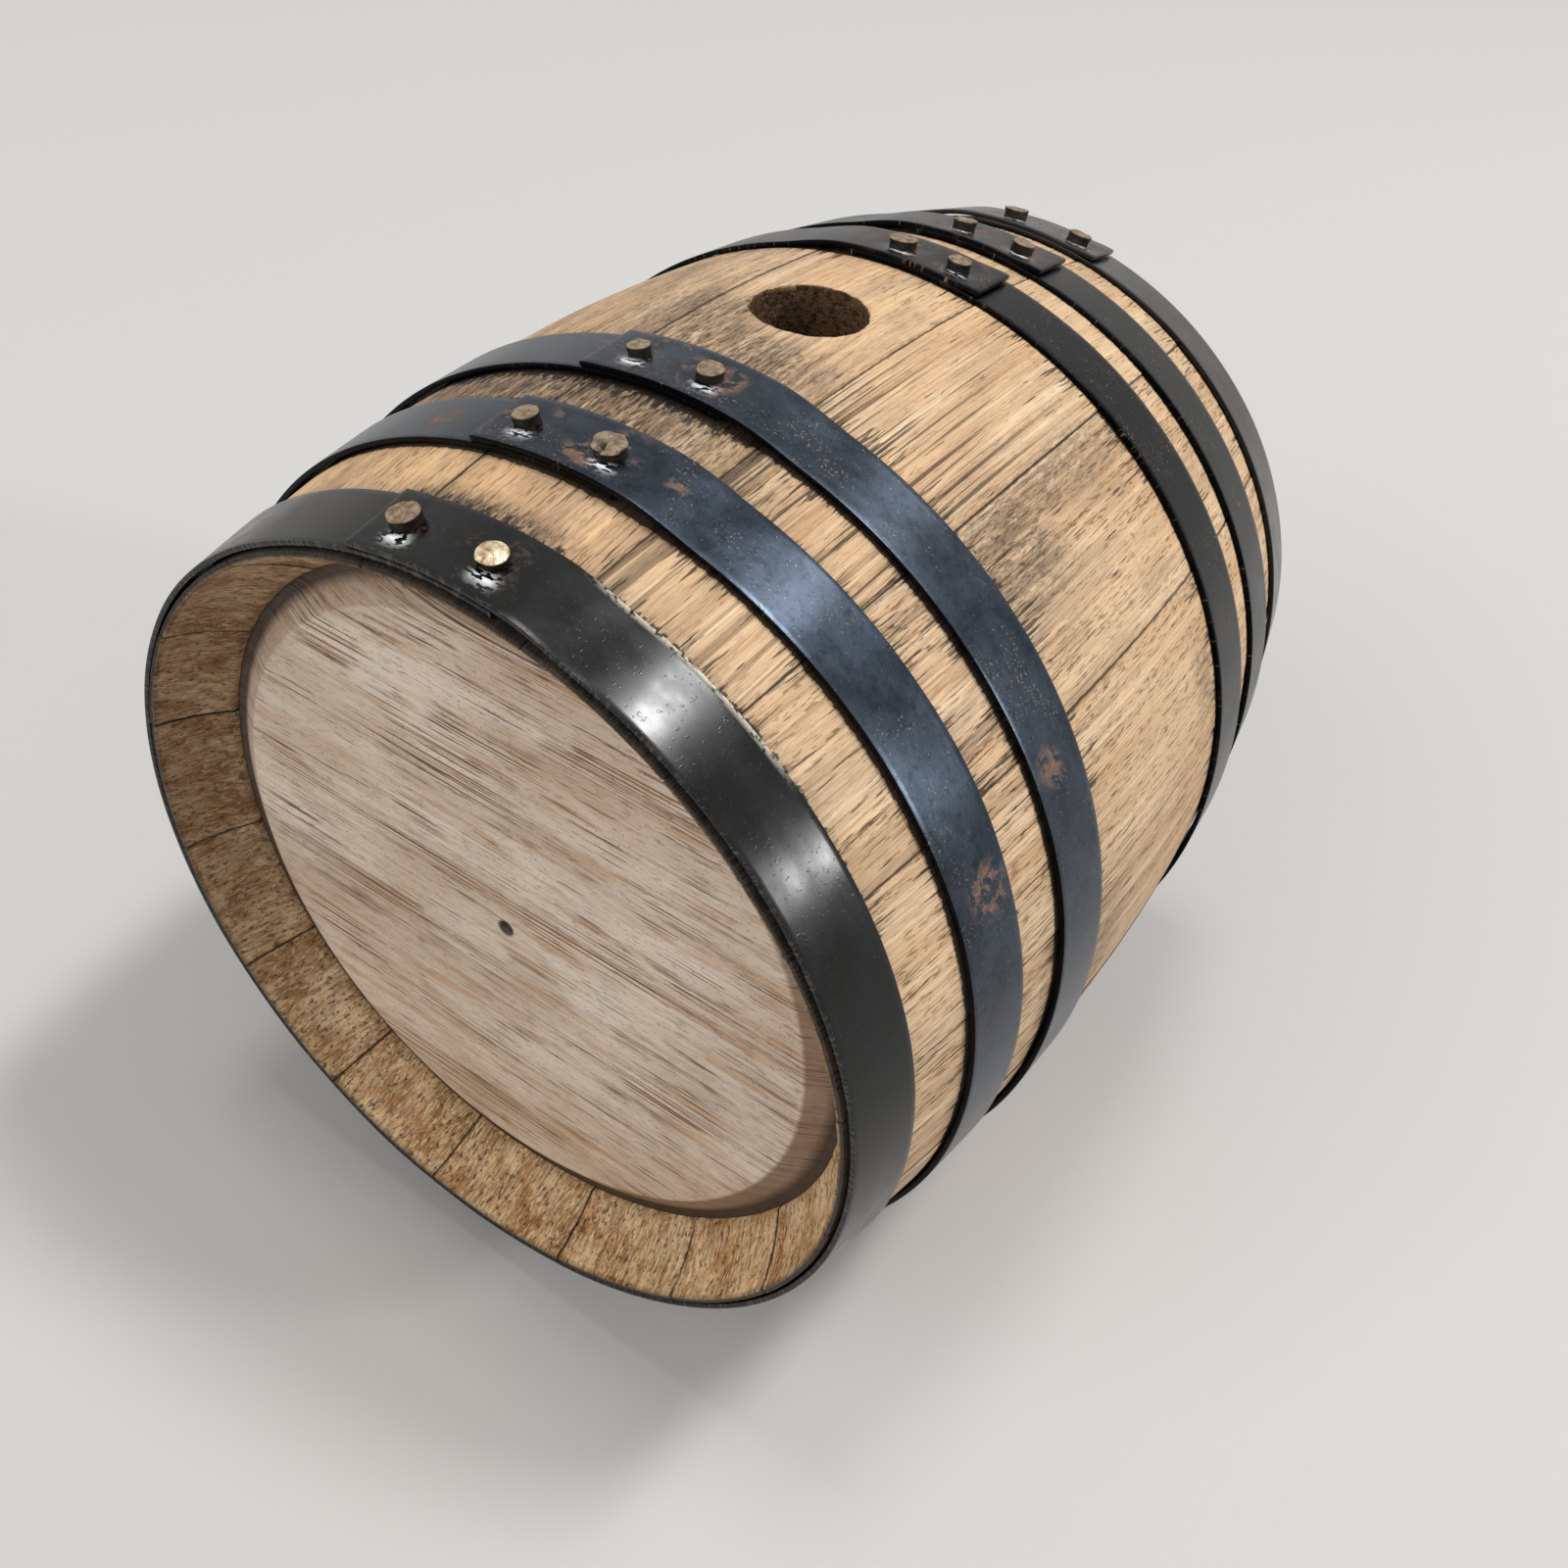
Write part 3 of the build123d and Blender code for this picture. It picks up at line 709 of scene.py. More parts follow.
def cut_away(piece, cutter_bm):
    """The mesh that is left of a piece when a cutter is taken away from it."""
    cutter_mesh = bpy.data.meshes.new("cutter")
    cutter_bm.to_mesh(cutter_mesh)
    cutter_bm.free()
    cutter = bpy.data.objects.new("cutter", cutter_mesh)
    bpy.context.scene.collection.objects.link(cutter)
    cut = piece.modifiers.new("bore", "BOOLEAN")
    cut.object = cutter
    cut.operation = "DIFFERENCE"
    ready = piece.evaluated_get(bpy.context.evaluated_depsgraph_get())
    left = bpy.data.meshes.new_from_object(ready)
    piece.modifiers.clear()
    bpy.data.objects.remove(cutter)
    return left


def bore(piece, radius, middle, along, depth, rim, roughness=0.0):
    """Bore a round hole through a piece, break the edges of its rim and roughen its wall."""
    turn = along.to_track_quat("Z", "Y").to_matrix().to_4x4()
    cutter_bm = bmesh.new()
    bmesh.ops.create_cone(cutter_bm, cap_ends=True, segments=BORE_SIDES, radius1=radius, radius2=radius,
                          depth=depth, matrix=Matrix.Translation(middle) @ turn)
    if roughness > 0:
        long_edges = [edge for edge in cutter_bm.edges if edge.calc_length() > 0.9 * depth]
        bmesh.ops.subdivide_edges(cutter_bm, edges=long_edges, cuts=BORE_RINGS)
    bored = cut_away(piece, cutter_bm)

    def on_rim(edge):
        offsets = [(vertex.co - middle).cross(along).length for vertex in edge.verts]
        on_wall = all(abs(offset - radius) < SAME_PLACE for offset in offsets)
        return on_wall and edge.calc_face_angle(0.0) > SHARP_ANGLE

    bm = bmesh.new()
    bm.from_mesh(bored)
    rim_edges = [edge for edge in bm.edges if on_rim(edge)]
    break_edges(bm, rim_edges, rim, segments=3)
    for vertex in bm.verts:
        outwards = vertex.co - middle
        outwards -= outwards.project(along)
        if roughness > 0 and outwards.length < radius + 1.2 * rim:
            lumps = noise.fractal(vertex.co / MM * BORE_LUMPS_PER_MM, 0.8, 2.0, 4)
            vertex.co += outwards.normalized() * roughness * (1 + lumps)
    shade(bm)
    bm.to_mesh(bored)
    bm.free()
    piece.data = bored
    return len(rim_edges)


bung_mount = next(mount for mount in frame["record"]["mounts"] if mount["name"] == "bung_hole")
bung_place = Vector(bung_mount["pos_m"])
bung_radius = bung_mount["dims"]["r_mm"] * MM
rim_edges = bore(staves["bung_stave"], bung_radius, bung_place, Vector((0, 0, 1)), 4 * STAVE_THICKNESS,
                 BUNG_RIM, BUNG_ROUGHNESS)
print("bung hole of", round(2 * bung_radius / MM, 1), "mm, with", rim_edges, "rim edges broken")

# %% Store the wood's attributes
for number, name in enumerate(STAVE_NAMES):
    store_wood(staves[name], number, *stave_turns[name], STAVE_LOOKS[name])
print("stored grain, look, wear and patch on", len(staves), "staves")

# %% [markdown]
# ## Oak for the heads
#
# A head is a sawn and sanded disc of the same oak, but it never lay under iron, so it is paler and
# greyer than the staves. Fine brown growth lines run straight across it. The cut chamfer round its
# edge is browner, with painted shade on its lower right, in the groove beside it and in the centre
# hole. The pattern is plain Object coordinates, stretched along the boards.

# %% Head oak
SHOULDER_CLEARANCE = 0.3 * MM
HEAD_CHAMFER = 4.0 * MM

shoulder_radius = barrel_radius(croze_inner, STAVE_THICKNESS) - SHOULDER_CLEARANCE
face_radius = shoulder_radius - HEAD_CHAMFER


def sanded_head_oak():
    """Sawn oak, sanded and greyed: matt, pale, with straight brown lines."""
    finish, tree, shader = new_finish("sanded_head_oak")
    place = place_in_mm(tree)
    tone = mottle(tree, place, (30, 30, 10), 0.35, 0.65, detail=4, seed=2)
    open_grain = mottle(tree, place, (22, 22, 8), 0.46, 0.6, detail=3, seed=11)
    lines = overlap(tree, mottle(tree, place, (44, 20, 0.24), 0.51, 0.58, detail=3, seed=1), open_grain)
    faint_lines = mottle(tree, place, (70, 20, 0.9), 0.45, 0.65, detail=3, seed=9)
    pores = mottle(tree, place, (2.6, 2.6, 0.24), 0.62, 0.68, detail=1, seed=4)
    cracks = mottle(tree, place, (15, 15, 0.5), 0.645, 0.69, detail=3, seed=14)
    specks = mottle(tree, place, (0.4, 0.4, 0.32), 0.69, 0.74, detail=1, seed=6)
    smudges = mottle(tree, place, (24, 17, 2.2), 0.54, 0.66, detail=5, seed=8)

    # Browner towards the bottom; the chamfer is brown with painted shade on its lower right, and the
    # groove beside it is painted nearly black as shade
    from_axis = add(tree, "ShaderNodeVectorMath", {0: place, 1: (1, 0, 1)}, operation="MULTIPLY").outputs[0]
    from_axis = add(tree, "ShaderNodeVectorMath", {0: from_axis, 1: (0, 0, axis_z / MM)},
                    operation="SUBTRACT").outputs[0]
    radius = add(tree, "ShaderNodeVectorMath", {0: from_axis}, operation="LENGTH").outputs["Value"]
    towards_foot = add(tree, "ShaderNodeVectorMath", {0: from_axis, 1: (0.7, 0, -0.7)},
                       operation="DOT_PRODUCT").outputs["Value"]
    along, height_mm = add(tree, "ShaderNodeSeparateXYZ", {0: place}).outputs[1:]
    face, shoulder = face_radius / MM, shoulder_radius / MM
    low_part, shaded_side, chamfer, groove, outer_face, centre = [
        add(tree, "ShaderNodeMapRange",
            {"Value": value, "From Min": start, "From Max": stop, "To Min": least}).outputs[0]
        for value, start, stop, least in (
            (height_mm, axis_z / MM - 15, axis_z / MM - 50, 0.0),
            (towards_foot, -45, 25, 0.35),
            (radius, face - 0.3, face + 0.3, 0.0),
            (radius, shoulder - 1.6, shoulder, 0.0),
            (along, 0.0, -1.0, 0.0),
            (radius, 1.6, 1.1, 0.0))]
    colour = lay_stains(tree, linear("#c2ad98"), [
        ("#d8c8b7", tone, 1.0),
        ("#c09566", low_part, 0.35),
        ("#a98762", faint_lines, 0.26),
        ("#b58350", smudges, 0.5),
        ("#74491f", lines, 0.9),
        ("#56402e", pores, 0.45),
        ("#4a3322", cracks, 0.85),
        ("#4d3c2f", specks, 0.6),
        # painted shade: the chamfer darker on its lower right, the groove nearly black, the centre hole dark
        ("#70523a", overlap(tree, chamfer, shaded_side), 0.72),
        ("#24180f", groove, 0.85),
        ("#23170e", overlap(tree, centre, outer_face), 0.9),
    ])
    height = build_up(tree, 1.0, [(lines, -0.6), (pores, -0.6), (specks, -0.5), (cracks, -1.2)])
    bump = add(tree, "ShaderNodeBump", {"Height": height, "Strength": 0.5, "Distance": 0.2 * MM})
    roughness = add(tree, "ShaderNodeMapRange", {"Value": lines, "To Min": 0.6, "To Max": 0.8})
    fill(tree, shader, {"Base Color": colour, "Roughness": roughness.outputs[0], "Normal": bump.outputs[0],
                        "Specular IOR Level": 0.3})
    return finish


head_oak = sanded_head_oak()
print("made", head_oak.name)

# %% [markdown]
# ## Two heads
#
# A head is turned: a disc with a chamfer on both faces, thinned to a tongue that sits in the croze
# groove. A lathe piece is half an outline, spun once round the axis. Its corners are then bevelled,
# because no sanded edge is a knife edge.

# %% Turn the heads
HEAD_STEPS = 144
HEAD_EDGE = 0.3 * MM
CORNER_ANGLE = math.radians(25)
TONGUE_SIDE_CLEARANCE = 0.05 * MM
CENTRE_MARK_RADIUS = 1.2 * MM
CENTRE_MARK_DEPTH = 3.0 * MM
TAP_HOLE_RADIUS = 6.05 * MM
HOLE_RIM = 0.2 * MM


def turn_head(node, side):
    """A head as a piece: its half outline spun round the barrel's axis."""
    low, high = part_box(node)
    tongue_radius = (high.x - low.x) / 2
    near, far = sorted((abs(low.y), abs(high.y)))
    tongue_near = croze_inner + TONGUE_SIDE_CLEARANCE
    tongue_far = croze_outer - TONGUE_SIDE_CLEARANCE
    outline = [(face_radius, near), (shoulder_radius, tongue_near), (tongue_radius, tongue_near),
               (tongue_radius, tongue_far), (shoulder_radius, tongue_far), (face_radius, far)]
    bm = bmesh.new()
    corners = [bm.verts.new(on_barrel(radius, 0, side * y)) for radius, y in outline]
    edges = [bm.edges.new(pair) for pair in zip(corners, corners[1:])]
    bmesh.ops.spin(bm, geom=corners + edges, cent=(0, 0, axis_z), axis=(0, 1, 0), angle=2 * math.pi,
                   steps=HEAD_STEPS, use_merge=True)
    bmesh.ops.holes_fill(bm, edges=bm.edges[:], sides=0)
    bmesh.ops.recalc_face_normals(bm, faces=bm.faces[:])
    break_edges(bm, [edge for edge in bm.edges if edge.calc_face_angle(0.0) > CORNER_ANGLE], HEAD_EDGE)
    return finish_piece(bm, f"{node}_oak", head_oak, "barrel", node)


plain_head = turn_head("plain_head", -1)
mark_middle = Vector((0, plain_low.y, axis_z))
bore(plain_head, CENTRE_MARK_RADIUS, mark_middle, Vector((0, 1, 0)), 2 * CENTRE_MARK_DEPTH, HOLE_RIM)

tap_head = turn_head("tap_head", 1)
cork_low, cork_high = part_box("tap_cork_lining")
tap_axis_z = (cork_low.z + cork_high.z) / 2
tap_hole_middle = Vector((0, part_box("tap_head")[1].y, tap_axis_z))
bore(tap_head, TAP_HOLE_RADIUS, tap_hole_middle, Vector((0, 1, 0)), 6 * STAVE_THICKNESS, HOLE_RIM)
print("turned two heads; tap hole", round((axis_z - tap_axis_z) / MM, 1), "mm below the axis")

# %% [markdown]
# ## Steel for the hoops
#
# The two hoops at the heads were brushed with black lacquer: glossy, nearly black, with dust in it
# and bright steel where an edge rubbed through. The others are rolled mild steel, blue-grey with
# mill scale, and rusty in spots and round the rivets. Both read an attribute "strip": millimetres
# along the strip, across it from the head side, and from the nearest rivet. Another attribute,
# "wear", says where a strip is rubbed, where it is rusty and where a painted glint lies in front of
# a rivet. The rolled steel also has painted shade and grime on its edge at the head side.

# %% Black lacquer and rolled steel
def strip_marks(tree, rust_size, rust_low, rust_high, rust_detail):
    """What both finishes read: place on the strip, distance across, rubbing, rust and painted glints."""
    strip, wear = [add(tree, "ShaderNodeAttribute", attribute_name=name).outputs["Vector"]
                   for name in ("strip", "wear")]
    across = add(tree, "ShaderNodeSeparateXYZ", {0: strip}).outputs["Y"]
    rubbed, rust, painted_glint_spot = add(tree, "ShaderNodeSeparateXYZ", {0: wear}).outputs
    rusty = overlap(tree, mottle(tree, strip, rust_size, rust_low, rust_high, rust_detail, seed=6), rust)
    painted_glints = overlap(tree, mottle(tree, strip, (1.3, 0.7, 1.3), 0.46, 0.5, detail=1, seed=12), painted_glint_spot)
    return strip, across, rubbed, rusty, painted_glints


def black_lacquer():
    """Brushed-on black lacquer over steel: glossy, with fine dust and rubbed edges."""
    finish, tree, shader = new_finish("brushed_black_lacquer")
    strip, across, rubbed, rusty, painted_glints = strip_marks(tree, (1.0, 0.8, 1.0), 0.45, 0.6, 4)
    cloud = mottle(tree, strip, (14, 5, 9), 0.3, 0.7, detail=3, seed=1)
    dust = mottle(tree, strip, (0.5, 0.5, 0.5), 0.68, 0.75, detail=1, seed=2)
    bare = overlap(tree, mottle(tree, strip, (5, 0.7, 0.7), 0.38, 0.5, detail=3, seed=3), rubbed)
    near_rim = add(tree, "ShaderNodeMapRange", {"Value": across, "From Min": 0.4, "From Max": 0.1}).outputs[0]
    rim_wear = overlap(tree, mottle(tree, strip, (1.6, 0.5, 0.5), 0.5, 0.62, detail=3, seed=7), near_rim)
    colour = lay_stains(tree, linear("#050606"), [
        ("#0b0c0e", cloud, 1.0),
        ("#3b3e40", dust, 0.4),
        ("#4a3829", rusty, 0.5),
        ("#5f564b", rim_wear, 0.45),
        ("#d2c8b6", bare, 0.95),
        # painted glints in front of the rivets
        ("#f4f5f5", painted_glints, 0.95),
    ])
    gloss = add(tree, "ShaderNodeMapRange", {"Value": cloud, "To Min": 0.18, "To Max": 0.28}).outputs[0]
    bubbles = mottle(tree, strip, (0.7, 0.7, 0.7), 0.64, 0.74, detail=1, seed=5)
    bump = add(tree, "ShaderNodeBump", {"Height": bubbles, "Strength": 0.2, "Distance": 0.03 * MM})
    fill(tree, shader, {"Base Color": colour, "Roughness": build_up(tree, gloss, [(rusty, 0.35)]),
                        "Normal": bump.outputs[0], "Specular IOR Level": 0.3})
    return finish


def rolled_steel(name, dark, light):
    """Rolled mild steel with mill scale: satin, mottled, with specks and spots of rust."""
    finish, tree, shader = new_finish(name)
    strip, across, _, rusty, painted_glints = strip_marks(tree, (2.4, 1.6, 2.4), 0.47, 0.56, 6)
    cloud = mottle(tree, strip, (26, 7, 9), 0.3, 0.7, detail=3, seed=1)
    specks = mottle(tree, strip, (0.45, 0.35, 0.45), 0.68, 0.73, detail=2, seed=2)
    scale = mottle(tree, strip, (1.3, 0.9, 1.3), 0.5, 0.64, detail=5, seed=3)
    soil = mottle(tree, strip, (7, 3.5, 4), 0.5, 0.7, detail=5, seed=4)
    fresh = overlap(tree, mottle(tree, strip, (0.9, 0.7, 0.8), 0.52, 0.62, detail=4, seed=10), rusty)
    freckles = overlap(tree, mottle(tree, strip, (0.55, 0.4, 0.55), 0.6, 0.68, detail=3, seed=7),
                       mottle(tree, strip, (12, 6, 9), 0.5, 0.62, detail=3, seed=8))
    # painted shade and grime on the strip's edge at the head side
    edge_shade_and_grime = add(tree, "ShaderNodeMapRange",
                    {"Value": across, "From Min": 0.14, "From Max": 0.02}).outputs[0]
    colour = lay_stains(tree, linear(dark), [
        (light, cloud, 1.0),
        ("#131518", soil, 0.3),
        ("#15181d", scale, 0.28),
        ("#97928a", specks, 0.5),
        ("#8a7159", freckles, 0.8),
        ("#644a39", rusty, 0.9),
        ("#9a6040", fresh, 0.7),
        # painted glints in front of the rivets
        ("#f4f5f6", painted_glints, 0.95),
        # painted shade and grime on the head-side edge
        ("#0b0b0c", edge_shade_and_grime, 0.9),
    ])
    dull = add(tree, "ShaderNodeMath", {0: rusty, 1: freckles}, operation="MAXIMUM").outputs[0]
    bright = add(tree, "ShaderNodeMath", {0: dull, 1: painted_glints}, operation="MAXIMUM").outputs[0]
    metallic = add(tree, "ShaderNodeMapRange", {"Value": bright, "To Min": 1.0, "To Max": 0.0}).outputs[0]
    satin = add(tree, "ShaderNodeMapRange", {"Value": cloud, "To Min": 0.27, "To Max": 0.33}).outputs[0]
    roughness = build_up(tree, satin, [(dull, 0.4), (painted_glints, 0.1)])
    height = build_up(tree, dull, [(scale, 0.3)])
    bump = add(tree, "ShaderNodeBump", {"Height": height, "Strength": 0.2, "Distance": 0.05 * MM})
    fill(tree, shader, {"Base Color": colour, "Metallic": metallic, "Roughness": roughness,
                        "Normal": bump.outputs[0]})
    return finish


lacquer = black_lacquer()
bright_scale = rolled_steel("rolled_blue_scale_steel", "#333a43", "#424b57")
black_scale = rolled_steel("rolled_black_scale_steel", "#0d0f11", "#181a1e")


def hoop_finish(end, place):
    """The head hoops are lacquered; of the others, those at the tap end are blacker."""
    if place == "head":
        return lacquer
    return bright_scale if end == "plain_end" else black_scale


print("made", lacquer.name, bright_scale.name, "and", black_scale.name)

# %% [markdown]
# ## Six hoops
#
# A hoop is a flat strip that was rolled into a cone, lapped over its own start and riveted. It is
# made the same way: a flat grid is bent round the barrel, lifted in a joggle where it climbs over
# its start, dented where the rivets pulled it down, then given its thickness and softened edges.
# A torus would have no lap, and a spun ring could not climb over itself.

# %% Roll the hoops
HOOP_THICKNESS = 0.75 * MM
LAP_CLEARANCE = 0.03 * MM
LAP_LENGTH = 21.5 * MM
JOGGLE_LENGTH = 12.0 * MM
HOOP_EDGE = 0.1 * MM
HOOP_CELLS_ALONG = 620
HOOP_CELLS_ACROSS = 12
RIVET_DENT = 0.3 * MM
DENT_REACH = 2.9 * MM
CRUMPLE = 0.16 * MM
CRUMPLE_REACH = 1.6 * DENT_REACH
# place and size of the painted glint in front of each rivet
SHINE_AHEAD = 2.6 * MM
SHINE_ASIDE = 0.9 * MM
SHINE_LENGTH = 1.8 * MM
SHINE_WIDTH = 0.85 * MM
RUST_RING = 3.2 * MM
RUST_WIDTH = 1.5 * MM
EDGE_WANDER = 0.16 * MM
FREE_END_LIFT = {"plain_end": 0.05 * MM, "tap_end": 0.35 * MM}
RUST_SPOTS = {
    # hoop: turn in degrees, share across from the head side, radius in mm
    "plain_end_quarter": [(62, 0.6, 3.4), (-22, 0.5, 2.5), (-2, 0.3, 2.0), (9, 0.55, 1.2), (170, 0.5, 4)],
    "plain_end_bilge": [(56, 0.35, 2.4), (-14, 0.7, 1.8), (-70, 0.5, 3), (120, 0.5, 2.5)],
    "tap_end_quarter": [(52, 0.5, 1.6), (-60, 0.4, 3), (140, 0.6, 3)],
    "tap_end_bilge": [(-30, 0.5, 2), (95, 0.4, 2.5), (-140, 0.6, 3.5)],
}
RUBBED_ARCS = {"plain_end_head": (9, 40)}
RUBBED_FADE = 0.1
LUMP_SIZE = 2.2 * MM
RUST_CLOUD_SIZE = 4.5 * MM
EDGE_WAVES = 3.5
FREE_END_SHARE = 0.75
RIM_ANGLE = math.radians(60)


def edge_radius(points, y):
    """Inside radius of a hoop at one of its edges."""
    return min(polar(p)[0] for p in points if abs(p.y - y) < SAME_PLACE)


def rust_at(name, turn, share, radius, width, cloud, gap):
    """How rusty a strip is: in patches of a ring round each rivet, and in spots of its own."""
    rust = smooth_step(-0.08, 0.22, cloud) * math.exp(-((gap - RUST_RING) / RUST_WIDTH) ** 2)
    for spot_turn, spot_share, spot_radius in RUST_SPOTS.get(name, []):
        away = math.remainder(turn - math.radians(spot_turn), 2 * math.pi) * radius
        spot_gap = math.hypot(away, (share - spot_share) * width)
        rust = max(rust, math.exp(-(spot_gap / (spot_radius * MM)) ** 4))
    return rust


def rubbed_at(name, turn, share):
    """How far the lacquer is rubbed off, along an arc of the strip's inner edge."""
    if name not in RUBBED_ARCS:
        return 0.0
    first, last = [math.radians(degrees) for degrees in RUBBED_ARCS[name]]
    facing = math.remainder(turn, 2 * math.pi)
    inside = smooth_step(first, first + RUBBED_FADE, facing) * smooth_step(last, last - RUBBED_FADE, facing)
    return inside * smooth_step(0.95, 0.99, share)


def roll_hoop(name):
    """A hoop as a piece, rolled from a flat strip onto the place of its solid."""
    end, place = name.rsplit("_", 1)
    way = -1 if end == "plain_end" else 1
    head_y, inner_y = hoop_spans[name] if way < 0 else reversed(hoop_spans[name])
    points = node_points(f"{name}_hoop")
    head_radius, inner_radius = edge_radius(points, head_y), edge_radius(points, inner_y)
    middle_radius = (head_radius + inner_radius) / 2
    width = abs(inner_y - head_y)
    whole = 2 * math.pi
    lap = LAP_LENGTH / middle_radius
    joggle = JOGGLE_LENGTH / bilge_radius
    joggle_end = whole - joggle / 8
    start = sum(rivet_turns[name]) / 2 - way * lap / 2
    rivet_along = [math.fmod(way * (turn - start) + whole, whole) for turn in rivet_turns[name]]
    rivet_along += [along + whole for along in rivet_along]
    seed = len(name)

    bm = bmesh.new()
    strip = bm.verts.layers.float_vector.new("strip")
    wear = bm.verts.layers.float_vector.new("wear")
    bmesh.ops.create_grid(bm, x_segments=HOOP_CELLS_ALONG, y_segments=HOOP_CELLS_ACROSS, size=0.5)
    for vertex in bm.verts:
        along = (vertex.co.x + 0.5) * (whole + lap)
        share = vertex.co.y + 0.5
        turn = start + way * along
        flat = Vector((along * middle_radius, share * width, 0))
        beside = min(((along - spot) * middle_radius for spot in rivet_along), key=abs)
        ahead = way * (share - 0.5) * width
        gap = math.hypot(beside, ahead)

        # Cone, climb over the strip's own start, lifted free end, and dents round the rivets
        radius = head_radius + (inner_radius - head_radius) * share
        radius += (HOOP_THICKNESS + LAP_CLEARANCE) * smooth_step(joggle_end - joggle, joggle_end, along)
        radius += FREE_END_LIFT[end] * smooth_step(whole + FREE_END_SHARE * lap, whole + lap, along)
        radius -= RIVET_DENT * math.exp(-(gap / DENT_REACH) ** 2)
        lumps = noise.noise(flat / LUMP_SIZE + Vector((0, 0, seed)))
        radius += CRUMPLE * lumps * math.exp(-(gap / CRUMPLE_REACH) ** 2)
        waves = Vector((EDGE_WAVES * math.sin(turn), EDGE_WAVES * math.cos(turn), seed + round(share)))
        y = head_y + (inner_y - head_y) * share + EDGE_WANDER * noise.noise(waves)

        cloud = noise.noise(flat / RUST_CLOUD_SIZE + Vector((0, 0, 9 + seed)))
        rust = rust_at(name, turn, share, middle_radius, width, cloud, gap)
        # A painted glint sits in front of each rivet, a little to one side
        aside = way * beside - SHINE_ASIDE
        painted_glint_spot = math.exp(-((ahead - SHINE_AHEAD) / SHINE_WIDTH) ** 4 - (aside / SHINE_LENGTH) ** 4)
        vertex.co = on_barrel(radius, turn, y)
        vertex[strip] = (flat.x / MM, flat.y / MM, gap / MM)
        vertex[wear] = (rubbed_at(name, turn, share), rust, painted_glint_spot)

    # Faces point outwards, so that the thickness grows the right way
    bmesh.ops.recalc_face_normals(bm, faces=bm.faces[:])
    centres = [face.calc_center_median() for face in bm.faces]
    outwards = [centre - Vector((0, centre.y, axis_z)) for centre in centres]
    if sum(face.normal.dot(away) for face, away in zip(bm.faces, outwards)) < 0:
        bmesh.ops.reverse_faces(bm, faces=bm.faces[:])
    bmesh.ops.solidify(bm, geom=bm.faces[:], thickness=-HOOP_THICKNESS)
    break_edges(bm, [edge for edge in bm.edges if edge.calc_face_angle(0.0) > RIM_ANGLE], HOOP_EDGE)
    return finish_piece(bm, f"{name}_hoop_steel", hoop_finish(end, place), "barrel",
                        f"{name}_hoop")


hoops = {name: roll_hoop(name) for name in HOOP_NAMES}
for name, hoop in hoops.items():
    radii = [round(polar(vertex.co)[0] / MM, 2) for vertex in hoop.data.vertices]
    print(name, "hoop:", len(hoop.data.polygons), "faces, radius", min(radii), "to", max(radii), "mm")

# %% [markdown]
# ## Twelve rivets
#
# Each lap is held by two cold-headed rivets. Their heads are short drums with a slightly crowned
# top, brown with old rust, and their sides are painted nearly black as rust and shade. One was
# polished bright and is rounder, and one was split by the hammer.
# A half outline is spun into the drum, and a little noise makes no two alike.

# %% Rivet finish
def rivet_steel(name, dark, light, metallic):
    """Cold-headed steel rivet with a patina: a rough top, and sides nearly black as rust and painted shade.
    """
    finish, tree, shader = new_finish(name)
    place = place_in_mm(tree)
    side = add(tree, "ShaderNodeAttribute", attribute_name="side").outputs["Fac"]
    cloud = mottle(tree, place, (1.1, 1.1, 1.1), 0.35, 0.65, detail=4, seed=1)
    grit = mottle(tree, place, (0.35, 0.35, 0.35), 0.58, 0.7, detail=2, seed=3)
    # the sides and the crack are painted nearly black: rust with painted shade
    stains = [(light, cloud, 1.0), ("#3b2719", grit, 0.6), ("#150d08", side, 0.97)]
    roughness = add(tree, "ShaderNodeMapRange", {"Value": cloud, "To Min": 0.66, "To Max": 0.46})
    bump = add(tree, "ShaderNodeBump", {"Height": grit, "Strength": 0.5, "Distance": 0.12 * MM})
    fill(tree, shader, {"Base Color": lay_stains(tree, linear(dark), stains), "Metallic": metallic,
                        "Roughness": roughness.outputs[0], "Normal": bump.outputs[0],
                        "Specular IOR Level": 0.3})
    return finish


brown_rivet = rivet_steel("cold_headed_rivet_brown", "#65543f", "#94816a", 0.1)
bright_rivet = rivet_steel("cold_headed_rivet_bright", "#a48a63", "#e8dcc4", 0.8)
print("made", brown_rivet.name, "and", bright_rivet.name)

# %% Set the rivets
RIVET_RADIUS = 1.9 * MM
RIVET_HEIGHT = 1.0 * MM
RIVET_SHANK = 1.6 * MM
RIVET_SIDES = 40
RIVET_LUMPS_PER_MM = 0.8
SIDE_ROUGHNESS = 0.12
TOP_ROUGHNESS = 0.08 * MM
CHIP_DEPTH = 0.4 * MM
CRACK_DEPTH = 0.6 * MM
CRACK_OPENING = 0.25
BRIGHT_CROWN = 0.3 * MM
BRIGHT_SUNK = 0.35 * MM
BROWN_CROWN = 0.1 * MM
ONE_RIVET_TURN = 0.07
RIVET_SIZES = {
    # hoop: size of each of its two heads, as a share of the usual one
    "plain_end_head": (1.08, 1.00), "plain_end_quarter": (0.92, 1.12), "plain_end_bilge": (0.82, 0.96),
    "tap_end_head": (1.10, 1.05), "tap_end_quarter": (1.0, 0.98), "tap_end_bilge": (1.15, 0.96),
}


